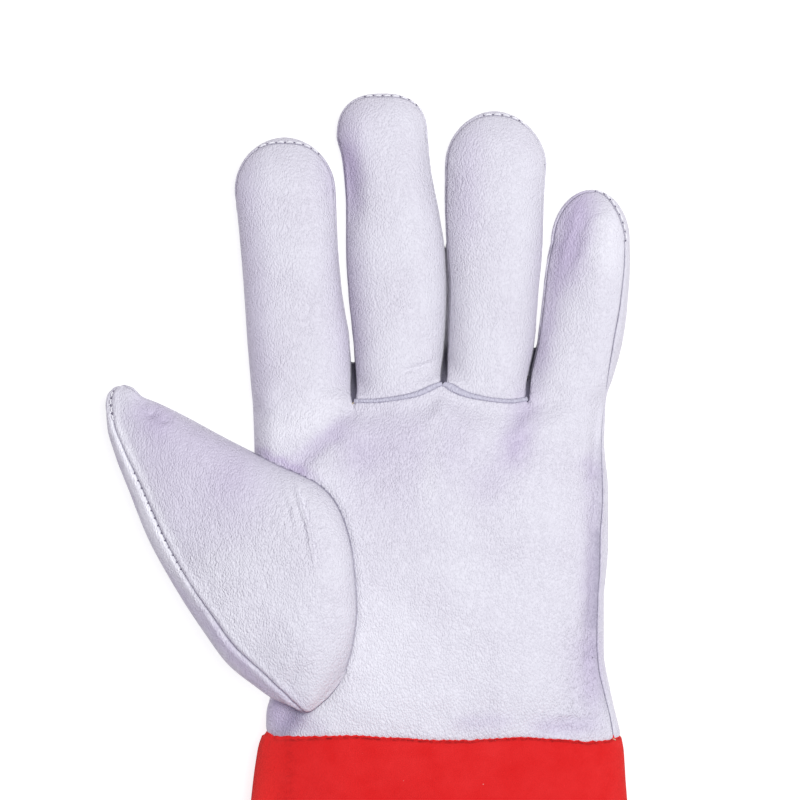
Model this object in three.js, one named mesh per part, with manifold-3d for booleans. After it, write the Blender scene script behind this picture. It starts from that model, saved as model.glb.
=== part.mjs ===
// Welding glove of thin goatskin with a long cuff of split leather, for the left hand.
// It lies on its back with the palm up, filled out as if a hand were in it.
// Millimetres. X runs from the thumb to the little finger, Y from the cuff to the fingertips, Z up.
// While the pieces are made, the wrist seam is at y = 0 and the table at z = 0.

import * as THREE from "three";
import { mergeVertices } from "three/addons/utils/BufferGeometryUtils.js";
import Module from "manifold-3d";

const wasm = await Module();
wasm.setup();

// Leather and seams
const GOATSKIN = 1.2;
const SPLIT_LEATHER = 1.6;
const SEAM_GAP = 0.3;
const WELT_WIDTH = 1.2;
const WELT_PROUD = 0.5;

// Cross-sections: a rounded box, widest at its waist, with the underside pressed flat on the table
const HAND_SIDES = 26;
const FINGER_SIDES = 18;
const WAIST = 0.43;
const PRESSED = 1.5;
const HAND_SQUARENESS = 2.7;
const FINGER_SQUARENESS = 2.5;
const THUMB_SQUARENESS = 2.2;

// Heights of the seams along the fingers
const FRONT_SEAM = 13;
const BACK_SEAM = 3.6;
const TIP_SEAM = 11.6;

// Gussets: they narrow over the last stretch of each finger and cross the web between two fingers
const GUSSET_TAPER = 16;
const GUSSET_PAST_LAST_ROW = 4;
const GUSSET_STEPS = 8;
const WEB_BELOW = 6;
const WEB_ABOVE = 14;

// The long cuff
const CUFF_LENGTH = 153;

// The palm, from the wrist seam to the webs between the fingers.
// lean: how much further the underside reaches than the top.
// crest: how much further the web between middle and ring finger reaches than the other two.
const PALM = [
  { y: 0, left: -50.8, right: 57.4, top: 23.5, lean: 0, crest: 0 },
  { y: 7, left: -50.9, right: 55.8, top: 24.6, lean: 0, crest: 0 },
  { y: 14, left: -49.5, right: 53.9, top: 25.4, lean: 0, crest: 0 },
  { y: 26, left: -49.6, right: 51.9, top: 26.2, lean: 0, crest: 0 },
  { y: 41, left: -51.4, right: 51.5, top: 26.6, lean: 0, crest: 0 },
  { y: 58, left: -53.2, right: 52.6, top: 26.4, lean: 0, crest: 0 },
  { y: 74, left: -54.2, right: 53.1, top: 25, lean: 0, crest: 0 },
  { y: 86, left: -54.6, right: 52.6, top: 23, lean: 0, crest: 0 },
  { y: 94, left: -54.3, right: 51.6, top: 21, lean: 2, crest: 1 },
  { y: 99, left: -49, right: 47, top: 18.4, lean: 6, crest: 3 },
  { y: 102, left: -43, right: 41, top: 15.5, lean: 10.5, crest: 5 },
];
const CREST_AT = 3.4;
const CREST_SPREAD = 13;
const WEB_SLANT = 1.3;

// The rings that close a fingertip, as parts of a quarter turn
const TIP_RINGS = [0.2, 0.42, 0.62, 0.8, 0.93];

// Regions reach past the glove by this much
const PAST_TIPS = 200;
const PAST_LITTLE = 75;
const PAST_TOP = 60;
const UNDER_TABLE = -1;
const BASE_CLEARANCE = 5;

// The fingers, from inside the palm to where each tip starts to close.
const FINGERS = {
  index: {
    rows: [
      { y: 84, left: -52, right: -27, top: 18 },
      { y: 96, left: -54.8, right: -24.6, top: 19.6 },
      { y: 103, left: -55.3, right: -24.5, top: 19.8 },
      { y: 120, left: -56.7, right: -26, top: 19.2 },
      { y: 136, left: -57.8, right: -27.9, top: 18.7 },
      { y: 153, left: -59.2, right: -29.3, top: 18 },
      { y: 167, left: -60.6, right: -29.8, top: 17 },
    ],
    tip: { x: -45.4, y: 183, square: 2 },
  },
  middle: {
    rows: [
      { y: 86, left: -21, right: -1, top: 18 },
      { y: 98, left: -23.6, right: 1.6, top: 19.8 },
      { y: 108, left: -24.1, right: 2.8, top: 20 },
      { y: 120, left: -25, right: 3.6, top: 19.6 },
      { y: 136, left: -26.1, right: 4.1, top: 19.2 },
      { y: 149, left: -26.5, right: 3.4, top: 18.8 },
      { y: 160, left: -26.5, right: 1.8, top: 18.4 },
      { y: 175, left: -28, right: -0.9, top: 17.6 },
      { y: 183, left: -29.4, right: -1.6, top: 16.8 },
    ],
    tip: { x: -15.4, y: 196.6, square: 2.5 },
  },
  ring: {
    rows: [
      { y: 86, left: 7, right: 26, top: 17.8 },
      { y: 98, left: 4.6, right: 28, top: 19.4 },
      { y: 108, left: 4, right: 28.4, top: 19.6 },
      { y: 120, left: 4.4, right: 30.9, top: 19.2 },
      { y: 136, left: 5, right: 32.2, top: 18.7 },
      { y: 149, left: 4.3, right: 33.4, top: 18.2 },
      { y: 164, left: 3.7, right: 33.9, top: 17.6 },
      { y: 175, left: 3.8, right: 34.7, top: 17 },
    ],
    tip: { x: 18.9, y: 191.1, square: 2.1 },
  },
  little: {
    rows: [
      { y: 84, left: 32, right: 50.5, top: 16.6 },
      { y: 96, left: 29.6, right: 51.8, top: 18 },
      { y: 103, left: 29.2, right: 52.9, top: 18.2 },
      { y: 109, left: 29.8, right: 54.9, top: 18 },
      { y: 120, left: 31.9, right: 57.9, top: 17.6 },
      { y: 131, left: 33.3, right: 59.5, top: 17.2 },
      { y: 146, left: 35.1, right: 60.4, top: 16.5 },
      { y: 151, left: 36.2, right: 60.3, top: 16.1 },
    ],
    tip: { x: 48.6, y: 167.1, square: 2 },
  },
};

// The thumb, from its tip to where it lies on the palm. Each row is a chord across it:
// near: the edge towards the index finger, far: the outer edge, then its height over and under the chord.
const THUMB = [
  { nearX: -93.6, nearY: 107.4, farX: -97.4, farY: 106.6, nearZ: 13, farZ: 13, over: 1.6, under: 1.6 },
  { nearX: -91.4, nearY: 106.4, farX: -99, farY: 103.9, nearZ: 13, farZ: 13, over: 3.4, under: 3.3 },
  { nearX: -88.4, nearY: 104.8, farX: -99.7, farY: 100.6, nearZ: 13, farZ: 13, over: 5, under: 4.8 },
  { nearX: -83.9, nearY: 102.2, farX: -99.3, farY: 94.4, nearZ: 13, farZ: 13, over: 6.8, under: 6.2 },
  { nearX: -75.6, nearY: 97.8, farX: -96.9, farY: 86, nearZ: 13.4, farZ: 13.4, over: 9, under: 7.8 },
  { nearX: -66.5, nearY: 92.9, farX: -92.8, farY: 75.6, nearZ: 14.4, farZ: 14, over: 11, under: 9.2 },
  { nearX: -55.8, nearY: 87.4, farX: -86.8, farY: 60.7, nearZ: 16, farZ: 15, over: 12.2, under: 10.6 },
  { nearX: -46.7, nearY: 82.9, farX: -78.7, farY: 46.1, nearZ: 18.4, farZ: 16.6, over: 12.6, under: 11.6 },
  { nearX: -39.8, nearY: 80, farX: -70, farY: 32.8, nearZ: 21, farZ: 18.8, over: 12.2, under: 12.6 },
  { nearX: -34.6, nearY: 77.2, farX: -62, farY: 22.3, nearZ: 22.4, farZ: 20.6, over: 11.8, under: 13 },
  { nearX: -30.6, nearY: 73.4, farX: -54.8, farY: 16.6, nearZ: 23.4, farZ: 22, over: 11.2, under: 13 },
  { nearX: -27, nearY: 66.4, farX: -47.6, farY: 11.8, nearZ: 24.4, farZ: 23.4, over: 10.2, under: 11.6 },
  { nearX: -24.1, nearY: 54, farX: -41.5, farY: 8.2, nearZ: 25.2, farZ: 24.4, over: 8.6, under: 9 },
  { nearX: -23.1, nearY: 40, farX: -36.4, farY: 7.8, nearZ: 25.4, farZ: 24.8, over: 6.8, under: 6 },
  { nearX: -24.3, nearY: 28, farX: -31.4, farY: 11.8, nearZ: 25, farZ: 24.8, over: 4, under: 3 },
  { nearX: -25.6, nearY: 23, farX: -28.6, farY: 16, nearZ: 24.4, farZ: 24.2, over: 1.6, under: 1.6 },
];
const THUMB_SIDES = 18;

// Seam between front and back of the thumb: its height above the chord at the outer edge and under it at
// the inner one, where the thumb is at least so high over its chord, and how far the cut runs past the chord
const THUMB_SEAM_ABOVE = 3;
const THUMB_SEAM_UNDER = 4;
const THUMB_SEAM_FULL_FROM = 6;
const THUMB_OVERSHOOT = 6;

// The cuff, from the wrist seam to its mouth.
const CUFF = [
  { y: 0, left: -51.2, right: 57.4, top: 23.5 },
  { y: -5, left: -53.6, right: 58.1, top: 24.6 },
  { y: -14, left: -55, right: 58.8, top: 26 },
  { y: -50, left: -58.2, right: 62, top: 30 },
  { y: -100, left: -62, right: 67, top: 34.5 },
  { y: -CUFF_LENGTH, left: -65.5, right: 71.5, top: 38 },
];

// Base seams of the middle and ring fingers, seen from above, from left to right
const MIDDLE_BASE = [
  { x: -24.4, y: 101.7 },
  { x: -13.1, y: 102.5 },
  { x: -2.4, y: 104.6 },
  { x: 3, y: 107 },
];
const RING_BASE = [
  { x: 3.6, y: 106.4 },
  { x: 9.8, y: 103.8 },
  { x: 19, y: 102.2 },
  { x: 28.6, y: 101.7 },
];

// Side seam on the little-finger side, seen from above, from the wrist to the fingertip
const SIDE_SEAM = [
  { y: -2, x: 55.4 },
  { y: 5, x: 54.4 },
  { y: 14, x: 52.2 },
  { y: 29, x: 50 },
  { y: 42, x: 50.6 },
  { y: 63, x: 51.6 },
  { y: 90, x: 51.5 },
  { y: 106, x: 53 },
  { y: 121, x: 55.3 },
  { y: 148, x: 58.7 },
  { y: 159, x: 57.5 },
  { y: 170, x: 53 },
];

// Seam on the underside, where the leather that rolls round the index side meets the back
const ROLLED_SEAM = [
  { y: -2, x: -41 },
  { y: 60, x: -43 },
  { y: 100, x: -45 },
  { y: 150, x: -48.5 },
  { y: 170, x: -50 },
  { y: 180.5, x: -62 },
  { y: 200, x: -62 },
];

const COLOURS = {
  goatskin: { color: "#e2e0ed", roughness: 0.5, metalness: 0 },
  seam: { color: "#c9c4da", roughness: 0.55, metalness: 0 },
  split: { color: "#dc2c2b", roughness: 0.92, metalness: 0 },
};

// Solids

// A closed geometry as a solid that can be joined and cut.
function toSolid(geometry) {
  const bare = geometry.clone();
  bare.deleteAttribute("normal");
  bare.deleteAttribute("uv");
  const merged = mergeVertices(bare, 1e-4);
  return new wasm.Manifold(
    new wasm.Mesh({
      numProp: 3,
      vertProperties: new Float32Array(merged.attributes.position.array),
      triVerts: new Uint32Array(merged.index.array),
    }),
  );
}

function toGeometry(solid) {
  const mesh = solid.getMesh();
  const geometry = new THREE.BufferGeometry();
  geometry.setAttribute("position", new THREE.BufferAttribute(mesh.vertProperties, 3));
  geometry.setIndex(new THREE.BufferAttribute(mesh.triVerts, 1));
  const facets = geometry.toNonIndexed();
  facets.computeVertexNormals();
  return facets;
}

// A closed skin through rings of equal length, with a fan over each end.
function loft(rings) {
  const count = rings[0].length;
  const points = rings.flat();
  const faces = [];
  for (let row = 0; row + 1 < rings.length; row++) {
    for (let i = 0; i < count; i++) {
      const here = row * count + i;
      const next = row * count + ((i + 1) % count);
      faces.push(here, next, next + count, here, next + count, here + count);
    }
  }
  const centreOf = (ring) =>
    ring.reduce((sum, p) => sum.add(p), new THREE.Vector3()).divideScalar(count);
  const first = points.push(centreOf(rings[0])) - 1;
  const last = points.push(centreOf(rings[rings.length - 1])) - 1;
  const lastRow = (rings.length - 1) * count;
  for (let i = 0; i < count; i++) {
    const next = (i + 1) % count;
    faces.push(first, next, i, last, lastRow + i, lastRow + next);
  }
  const geometry = new THREE.BufferGeometry().setFromPoints(points);
  geometry.setIndex(faces);
  const solid = toSolid(geometry);
  if (solid.volume() > 0) return solid;
  for (let i = 0; i < faces.length; i += 3) [faces[i], faces[i + 1]] = [faces[i + 1], faces[i]];
  geometry.setIndex(faces);
  return toSolid(geometry);
}

// An upright prism over a plan outline.
function prism(outline, low, high) {
  const shape = new THREE.Shape(outline.map((p) => new THREE.Vector2(p.x, p.y)));
  const geometry = new THREE.ExtrudeGeometry(shape, { depth: high - low, bevelEnabled: false });
  geometry.translate(0, 0, low);
  return toSolid(geometry);
}

const joinAll = (solids) => solids.reduce((sum, solid) => sum.add(solid));

// Sections

const signedPower = (value, power) => Math.sign(value) * Math.abs(value) ** power;

// One closed section of the hand, a finger or the cuff, set in from the outer skin by inset.
// close: 1 at full size, falling to 0 as a fingertip closes.
function sectionRing(row, inset, sides, squareness, close = 1) {
  const { y, left, right, top, lean = 0, crest = 0 } = row;
  const middle = (left + right) / 2;
  const half = ((right - left) / 2 - inset) * close;
  const waist = top * WAIST;
  const above = (top - inset - waist) * close;
  const below = (waist + PRESSED - inset) * close;
  return Array.from({ length: sides }, (_, i) => {
    const turn = (2 * Math.PI * i) / sides;
    const across = signedPower(Math.cos(turn), 2 / squareness);
    const up = signedPower(Math.sin(turn), 2 / squareness);
    const x = middle + half * across;
    const z = Math.max(waist + up * (up > 0 ? above : below), inset);
    const reach = lean * (1 - z / top) + crest * Math.exp(-(((x - CREST_AT) / CREST_SPREAD) ** 2));
    return new THREE.Vector3(x, y + reach, z);
  });
}

// The palm as a solid, whose skin is set in by inset; open: how far it runs out past the wrist seam.
function palmSolid(inset, open = 0) {
  const rows = PALM.map((row) => (row.lean > 0 ? { ...row, y: row.y - WEB_SLANT * inset } : row));
  const ends = open > 0 ? [{ ...PALM[0], y: -open }] : [];
  return loft([...ends, ...rows].map((row) => sectionRing(row, inset, HAND_SIDES, HAND_SQUARENESS)));
}

// A finger as a solid with a rounded tip: the tip's rings follow a quarter of an ellipse.
function fingerSolid(finger, inset) {
  const body = finger.rows.map((row) => sectionRing(row, inset, FINGER_SIDES, FINGER_SQUARENESS));
  const base = finger.rows[finger.rows.length - 1];
  const baseX = (base.left + base.right) / 2;
  const length = finger.tip.y - inset - base.y;
  const tip = TIP_RINGS.map((part) => {
    const turn = (part * Math.PI) / 2;
    const close = Math.cos(turn) ** (2 / finger.tip.square);
    const shift = (finger.tip.x - baseX) * Math.sin(turn);
    const row = {
      y: base.y + length * Math.sin(turn) ** (2 / finger.tip.square),
      left: base.left + shift,
      right: base.right + shift,
      top: base.top,
    };
    return sectionRing(row, inset, FINGER_SIDES, FINGER_SQUARENESS, close);
  });
  return loft([...body, ...tip]);
}

// One section of the thumb, round its chord.
function thumbRing(row, inset) {
  const near = new THREE.Vector3(row.nearX, row.nearY, row.nearZ);
  const far = new THREE.Vector3(row.farX, row.farY, row.farZ);
  const middle = near.clone().add(far).divideScalar(2);
  const half = near.clone().sub(middle);
  half.setLength(half.length() - inset);
  return Array.from({ length: THUMB_SIDES }, (_, i) => {
    const turn = (2 * Math.PI * i) / THUMB_SIDES;
    const along = signedPower(Math.cos(turn), 2 / THUMB_SQUARENESS);
    const up = signedPower(Math.sin(turn), 2 / THUMB_SQUARENESS);
    const rise = up > 0 ? row.over - inset : row.under - inset;
    return middle.clone().addScaledVector(half, along).add(new THREE.Vector3(0, 0, up * rise));
  });
}

// The thumb as a solid; its first and last rings are moved inwards too when its skin is set in.
function thumbSolid(inset) {
  const rows = THUMB.map((row) => ({ ...row }));
  const ends = [
    [rows[0], THUMB[1]],
    [rows[rows.length - 1], THUMB[THUMB.length - 2]],
  ];
  for (const [end, next] of ends) {
    const towards = new THREE.Vector2(
      next.nearX + next.farX - end.nearX - end.farX,
      next.nearY + next.farY - end.nearY - end.farY,
    ).setLength(inset);
    end.nearX += towards.x;
    end.farX += towards.x;
    end.nearY += towards.y;
    end.farY += towards.y;
  }
  return loft(rows.map((row) => thumbRing(row, inset)));
}

function cuffSolid(inset, open = 0) {
  const rows = CUFF.map((row) => ({ ...row }));
  rows[0].y += open > 0 ? open : -SEAM_GAP;
  rows[rows.length - 1].y -= open;
  return loft(rows.map((row) => sectionRing(row, inset, HAND_SIDES, HAND_SQUARENESS)));
}

// Regions that the seams divide the skin into

// Where a finger's left or right edge is at a given y.
function edgeAt(finger, side, y) {
  const rows = finger.rows;
  const after = rows.findIndex((row) => row.y > y);
  if (after < 0) return rows[rows.length - 1][side];
  if (after === 0) return rows[0][side];
  const a = rows[after - 1];
  const b = rows[after];
  return a[side] + ((b[side] - a[side]) * (y - a.y)) / (b.y - a.y);
}

const centreAt = (finger, y) => (edgeAt(finger, "left", y) + edgeAt(finger, "right", y)) / 2;

// Halfway between two neighbouring fingers.
const gapAt = (leftFinger, rightFinger, y) =>
  (edgeAt(leftFinger, "right", y) + edgeAt(rightFinger, "left", y)) / 2;

// The rectangle at y that a gusset takes up, from x = from to x = to, closing towards the fingertip.
function gussetRing(y, from, to, openness, grow) {
  const low = TIP_SEAM + (BACK_SEAM - TIP_SEAM) * openness - grow;
  const high = TIP_SEAM + (FRONT_SEAM - TIP_SEAM) * openness + grow;
  return [
    new THREE.Vector3(from, y, low),
    new THREE.Vector3(to, y, low),
    new THREE.Vector3(to, y, high),
    new THREE.Vector3(from, y, high),
  ];
}

// The gusset between two fingers: along the side of each, and across the web that joins them.
function gussetRegion(leftFinger, rightFinger, webY, grow) {
  const branch = (finger) => {
    const stop = finger.rows[finger.rows.length - 1].y + GUSSET_PAST_LAST_ROW;
    const rings = [];
    for (let i = 0; i <= GUSSET_STEPS; i++) {
      const y = webY + ((stop + grow - webY) * i) / GUSSET_STEPS;
      const openness = Math.min(1, Math.max(0.02, (stop - y) / GUSSET_TAPER));
      rings.push(gussetRing(y, centreAt(finger, y), gapAt(leftFinger, rightFinger, y), openness, grow));
    }
    return loft(rings);
  };
  const web = loft(
    [webY - WEB_BELOW, webY + WEB_ABOVE].map((y) =>
      gussetRing(y, centreAt(leftFinger, webY), centreAt(rightFinger, webY), 1, grow),
    ),
  );
  return joinAll([branch(leftFinger), branch(rightFinger), web]);
}

// What belongs to the back: the underside up to the tip seams, and all beyond the side seam.
function backRegion(grow) {
  const rightOf = (seam, high) => {
    const line = seam.map((p) => ({ x: p.x - grow, y: p.y }));
    const lastY = seam[seam.length - 1].y;
    const corners = [
      { x: PAST_LITTLE, y: lastY },
      { x: PAST_LITTLE, y: seam[0].y },
    ];
    return prism([...line, ...corners], UNDER_TABLE, high);
  };
  return rightOf(ROLLED_SEAM, TIP_SEAM + grow).add(rightOf(SIDE_SEAM, PAST_TOP));
}

// The front of one finger, from start mm past its base seam to beyond its tip.
function frontRegion(finger, leftNeighbour, rightNeighbour, baseSeam, start) {
  const clearOfBase = baseSeam[0].y + start + BASE_CLEARANCE;
  const ys = [...finger.rows.map((row) => row.y).filter((y) => y > clearOfBase), PAST_TIPS];
  const base = baseSeam.map((p) => ({ x: p.x, y: p.y + start }));
  const rightSide = ys.map((y) => ({ x: gapAt(finger, rightNeighbour, y), y }));
  const leftSide = ys.map((y) => ({ x: gapAt(leftNeighbour, finger, y), y })).reverse();
  return prism([...base, ...rightSide, ...leftSide], BACK_SEAM, PAST_TOP);
}

// The narrow band of a welt along a base seam.
function weltRegion(baseSeam, from, to) {
  const lower = baseSeam.map((p) => ({ x: p.x, y: p.y + from }));
  const upper = baseSeam.map((p) => ({ x: p.x, y: p.y + to })).reverse();
  return prism([...lower, ...upper], FRONT_SEAM + SEAM_GAP, PAST_TOP);
}

// What belongs to the back of the thumb: all below a line that falls from its outer to its inner edge.
function thumbBackRegion(grow) {
  const rings = THUMB.map((row) => {
    const near = new THREE.Vector3(row.nearX, row.nearY, 0);
    const far = new THREE.Vector3(row.farX, row.farY, 0);
    const out = far.clone().sub(near).setLength(THUMB_OVERSHOOT);
    near.sub(out);
    far.add(out);
    const size = Math.min(1, row.over / THUMB_SEAM_FULL_FROM);
    const nearTop = row.nearZ - THUMB_SEAM_UNDER * size + grow;
    const farTop = row.farZ + THUMB_SEAM_ABOVE * size + grow;
    return [
      new THREE.Vector3(near.x, near.y, -2),
      new THREE.Vector3(far.x, far.y, -2),
      new THREE.Vector3(far.x, far.y, farTop),
      new THREE.Vector3(near.x, near.y, nearTop),
    ];
  });
  const beyond = (end, next) =>
    end.map((p, i) => new THREE.Vector3(2 * p.x - next[i].x, 2 * p.y - next[i].y, p.z));
  const count = rings.length;
  return loft([beyond(rings[0], rings[1]), ...rings, beyond(rings[count - 1], rings[count - 2])]);
}

// The skin of the hand and its pieces

const { index, middle, ring, little } = FINGERS;
const fingers = [index, middle, ring, little];

const handSolid = (inset, open = 0) =>
  joinAll([palmSolid(inset, open), ...fingers.map((finger) => fingerSolid(finger, inset))]);

const handOuter = handSolid(0);
const handHollow = handSolid(GOATSKIN, 5);
const handSkin = handOuter.subtract(handHollow);

const thumbHollow = thumbSolid(GOATSKIN);
const thumbSkin = thumbSolid(0).subtract(thumbHollow).subtract(handSolid(-SEAM_GAP));

const gussets = {
  fourchette_index_middle: [index, middle, 103],
  fourchette_middle_ring: [middle, ring, 107],
  fourchette_ring_little: [ring, little, 103],
};
const gussetsGrown = joinAll(Object.values(gussets).map((gusset) => gussetRegion(...gusset, SEAM_GAP)));

const frontSkin = handSkin.subtract(backRegion(SEAM_GAP)).subtract(gussetsGrown);
const pastWelt = WELT_WIDTH + 2 * SEAM_GAP;
const middleFront = (start) => frontRegion(middle, index, ring, MIDDLE_BASE, start);
const ringFront = (start) => frontRegion(ring, middle, little, RING_BASE, start);
const weltSkin = handSolid(-WELT_PROUD).subtract(handHollow).subtract(gussetsGrown);

const pieces = {
  palm_front: frontSkin.subtract(middleFront(0)).subtract(ringFront(0)).subtract(thumbHollow),
  middle_front: frontSkin.intersect(middleFront(pastWelt)),
  ring_front: frontSkin.intersect(ringFront(pastWelt)),
  welt_middle: weltSkin.intersect(weltRegion(MIDDLE_BASE, SEAM_GAP, SEAM_GAP + WELT_WIDTH)),
  welt_ring: weltSkin.intersect(weltRegion(RING_BASE, SEAM_GAP, SEAM_GAP + WELT_WIDTH)),
  hand_back: handSkin.intersect(backRegion(0)).subtract(gussetsGrown),
  thumb_front: thumbSkin.subtract(thumbBackRegion(SEAM_GAP)),
  thumb_back: thumbSkin.intersect(thumbBackRegion(0)),
  cuff: cuffSolid(0).subtract(cuffSolid(SPLIT_LEATHER, 5)),
};
for (const [name, gusset] of Object.entries(gussets)) {
  pieces[name] = handSkin.intersect(gussetRegion(...gusset, 0));
}

const colourOf = (name) => {
  if (name === "cuff") return COLOURS.split;
  return name.startsWith("welt") ? COLOURS.seam : COLOURS.goatskin;
};

const glove = new THREE.Group();
for (const [name, solid] of Object.entries(pieces)) {
  const mesh = new THREE.Mesh(toGeometry(solid), new THREE.MeshStandardMaterial(colourOf(name)));
  mesh.name = name;
  glove.add(mesh);
}

// The origin is under the middle of the glove, on the table.
const box = new THREE.Box3().setFromObject(glove);
const centre = box.getCenter(new THREE.Vector3());
glove.position.set(-centre.x, -centre.y, -box.min.z);

export default glove;
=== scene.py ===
"""A long-cuffed welding glove of thin goatskin, lying palm up and filled out as if a hand were in it.

Every leather piece is a surface worked out on a grid: rows run along the glove or the thumb, columns
round it, and the shapes come from the short tables below. All lengths in the tables are millimetres,
with x from the thumb to the little finger, y from the wrist seam to the fingertips and z up from the table.
"""

import math

import bpy
import numpy as np
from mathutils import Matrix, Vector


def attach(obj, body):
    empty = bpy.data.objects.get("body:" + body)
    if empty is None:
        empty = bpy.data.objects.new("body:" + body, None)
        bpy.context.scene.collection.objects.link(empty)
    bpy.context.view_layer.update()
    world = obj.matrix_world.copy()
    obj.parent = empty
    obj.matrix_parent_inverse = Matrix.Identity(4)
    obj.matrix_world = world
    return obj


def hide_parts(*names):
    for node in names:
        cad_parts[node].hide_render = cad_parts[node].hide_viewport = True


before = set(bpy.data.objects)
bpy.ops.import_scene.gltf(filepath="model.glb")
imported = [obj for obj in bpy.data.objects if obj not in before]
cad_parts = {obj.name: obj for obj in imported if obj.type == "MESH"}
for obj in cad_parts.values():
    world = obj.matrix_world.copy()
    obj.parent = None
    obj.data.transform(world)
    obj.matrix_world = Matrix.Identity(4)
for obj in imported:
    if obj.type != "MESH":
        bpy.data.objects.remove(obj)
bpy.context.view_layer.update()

MM = 0.001
WRIST_PLACE = np.array((14.1, -21.767, 0.0))  # where x = y = 0 lies from the frame's origin

# Walls of leather, and the groove along a seam
GOATSKIN = 1.1
SPLIT_LEATHER = 1.6
GUSSET_WALL = 0.8
WELT_WALL = 0.5
GROOVE_WIDTH = 0.42

# Cross-sections: a rounded box, widest at its waist, pressed flat on the table underneath
WAIST = 0.43
PRESSED = 1.5
HAND_SQUARENESS = 2.7
FINGER_SQUARENESS = 2.5
THUMB_SQUARENESS = 2.6

# Heights of the seams along the fingers
FRONT_SEAM = 10.6
BACK_SEAM = 3.6
TIP_SEAM_SIDE = 10.8
GUSSET_TAPER = 18.0

# How the palm passes into the fingers, and how a gusset turns round the web between two fingers
BLEND = 11.0
BLEND_AT_WEB = 8.0
BLEND_WIDTH = 4.0
WEB_ROUND = 2.6
WEB_EASE = 9.0
WEB_ARCH = 1.9
PINCH_WIDTH = 4.5
SWELL_HEIGHT = 3.5
SWELL_WIDTH = 2.0
SWELL_EASE = 4
ROLL = 14  # how far before the last section the rolled seam starts to climb to the tip seam

# Grid steps, and the distances from a seam at which a grid has lines of its own
FRONT_STEP = 0.72
BACK_STEP = 0.9
THUMB_STEP = 0.55
CUFF_STEP = 1.1
GUSSET_STEP = 0.7
SEAM_STEPS = (0.15, 0.3, 0.46, 0.65, 0.88, 1.15, 1.5, 1.95)
GUSSET_COLUMNS = 15
WELT_COLUMNS = 9

# Lengths that the grids are spread over: the hand, the tips' fronts and backs, round the thumb and the cuff
HAND_LENGTH = 104
FRONT_TIP = 16
BACK_TIP = 24
THUMB_LENGTH = 150.0
THUMB_GIRTH = 62
CUFF_LENGTH = 153.0
CUFF_GIRTH = 270
# How much closer their lines lie at the web, at the thumb's ends and at the cuff's sides
GUSSET_CROWDING = 1.6
THUMB_CROWDING = 0.35
CUFF_CROWDING = 0.21


def table(names, *rows):
    """A short table: one array for each named column."""
    return dict(zip(names.split(), np.array(rows, float).T))


PALM = table(
    "y left right top",
    (0, -49.6, 57.2, 23.3), (3, -51, 56.8, 24), (7, -50.9, 55.8, 24.6), (14, -49.5, 54.2, 25.4),
    (26, -49.6, 52.2, 26.2), (41, -51.4, 52.2, 26.6), (58, -53.2, 53.5, 26.4),
    (74, -54.2, 53.6, 25.4), (90, -54.6, 52.4, 23.6), (104, -55.2, 52.9, 21.6),
    (120, -56.6, 57.5, 19.6),
)

# swell: where a finger's lower half bulges out against its neighbour, so that no light comes up between them;
# sunk: where one side of its top has fallen in, by that much from the second place on
FINGERS = {
    "index": {
        "rows": table(
            "y left right top",
            (70, -53.8, -25, 20.4), (96, -54.8, -24.5, 20), (103, -55.3, -24.7, 19.8),
            (120, -56.7, -25.5, 19.2), (136, -57.8, -27.9, 18.7), (153, -59.2, -29.3, 18),
            (167, -60.6, -29.8, 17),
        ),
        "tip": {"x": -45.4, "y": 183.2, "square": 1.93, "crown": (0.0, 0.45)},
    },
    "middle": {
        "rows": table(
            "y left right top",
            (70, -23.6, 2.6, 20.6), (98, -23.9, 1.9, 20.2), (108, -23.5, 2.4, 20),
            (120, -24.2, 3.3, 19.6), (136, -25.8, 3.9, 19.2), (149, -26.5, 3.4, 18.8),
            (160, -26.5, 1.8, 18.4), (175, -27.5, -0.9, 17.6), (183, -29.4, -1.6, 16.8),
        ),
        "tip": {"x": -15.4, "y": 196.6, "square": 2.5, "crown": (0.05, 0.52)},
        "swell": {"side": 1, "from": 108, "to": 150, "by": 1.9},
    },
    "ring": {
        "rows": table(
            "y left right top",
            (70, 4.4, 28, 20.4), (98, 4.2, 28, 19.9), (108, 4.0, 28.7, 19.6),
            (120, 4.6, 30.9, 19.2), (136, 5.1, 32.2, 18.7), (149, 4.3, 33.4, 18.2),
            (164, 3.7, 33.9, 17.6), (175, 3.8, 34.7, 17),
        ),
        "tip": {"x": 18.9, "y": 191.2, "square": 1.86, "crown": (0.1, 0.36)},
        "swell": {"side": -1, "from": 108, "to": 150, "by": 1.9},
    },
    "little": {
        "rows": table(
            "y left right top",
            (70, 29.4, 52.9, 19.4), (96, 29.6, 52.2, 18.6), (103, 29.1, 52.9, 18.2),
            (109, 29.6, 54.9, 18), (120, 31.9, 57.9, 17.6), (131, 33.3, 59.5, 17.2),
            (146, 35.1, 60.4, 16.5), (151, 36.2, 60.3, 16.1),
        ),
        "tip": {"x": 48.6, "y": 167.1, "square": 2.0, "crown": (0.1, 0.26)},
        "sunk": {"side": -1, "from": 112, "to": 142, "by": 3.6},
    },
}
ORDER = ["index", "middle", "ring", "little"]
SET_IN = ("middle", "ring")  # their fronts are pieces of their own, above the base seam
SIZES = ("left", "right", "top")

# The three webs: where the palm's leather ends between two fingers, and where the back's does
WEBS = {
    ("index", "middle"): {"x": -24.1, "front": 101.9, "back": 114.5, "high": 18.2},
    ("middle", "ring"): {"x": 2.7, "front": 107.0, "back": 117.0, "high": 19.0},
    ("ring", "little"): {"x": 28.8, "front": 102.6, "back": 119.0, "high": 17.2},
}

# Where the outer fingers begin on the hand's outer sides
OUTER_BASE = {"front": 108.0, "back": 108.0}

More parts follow.
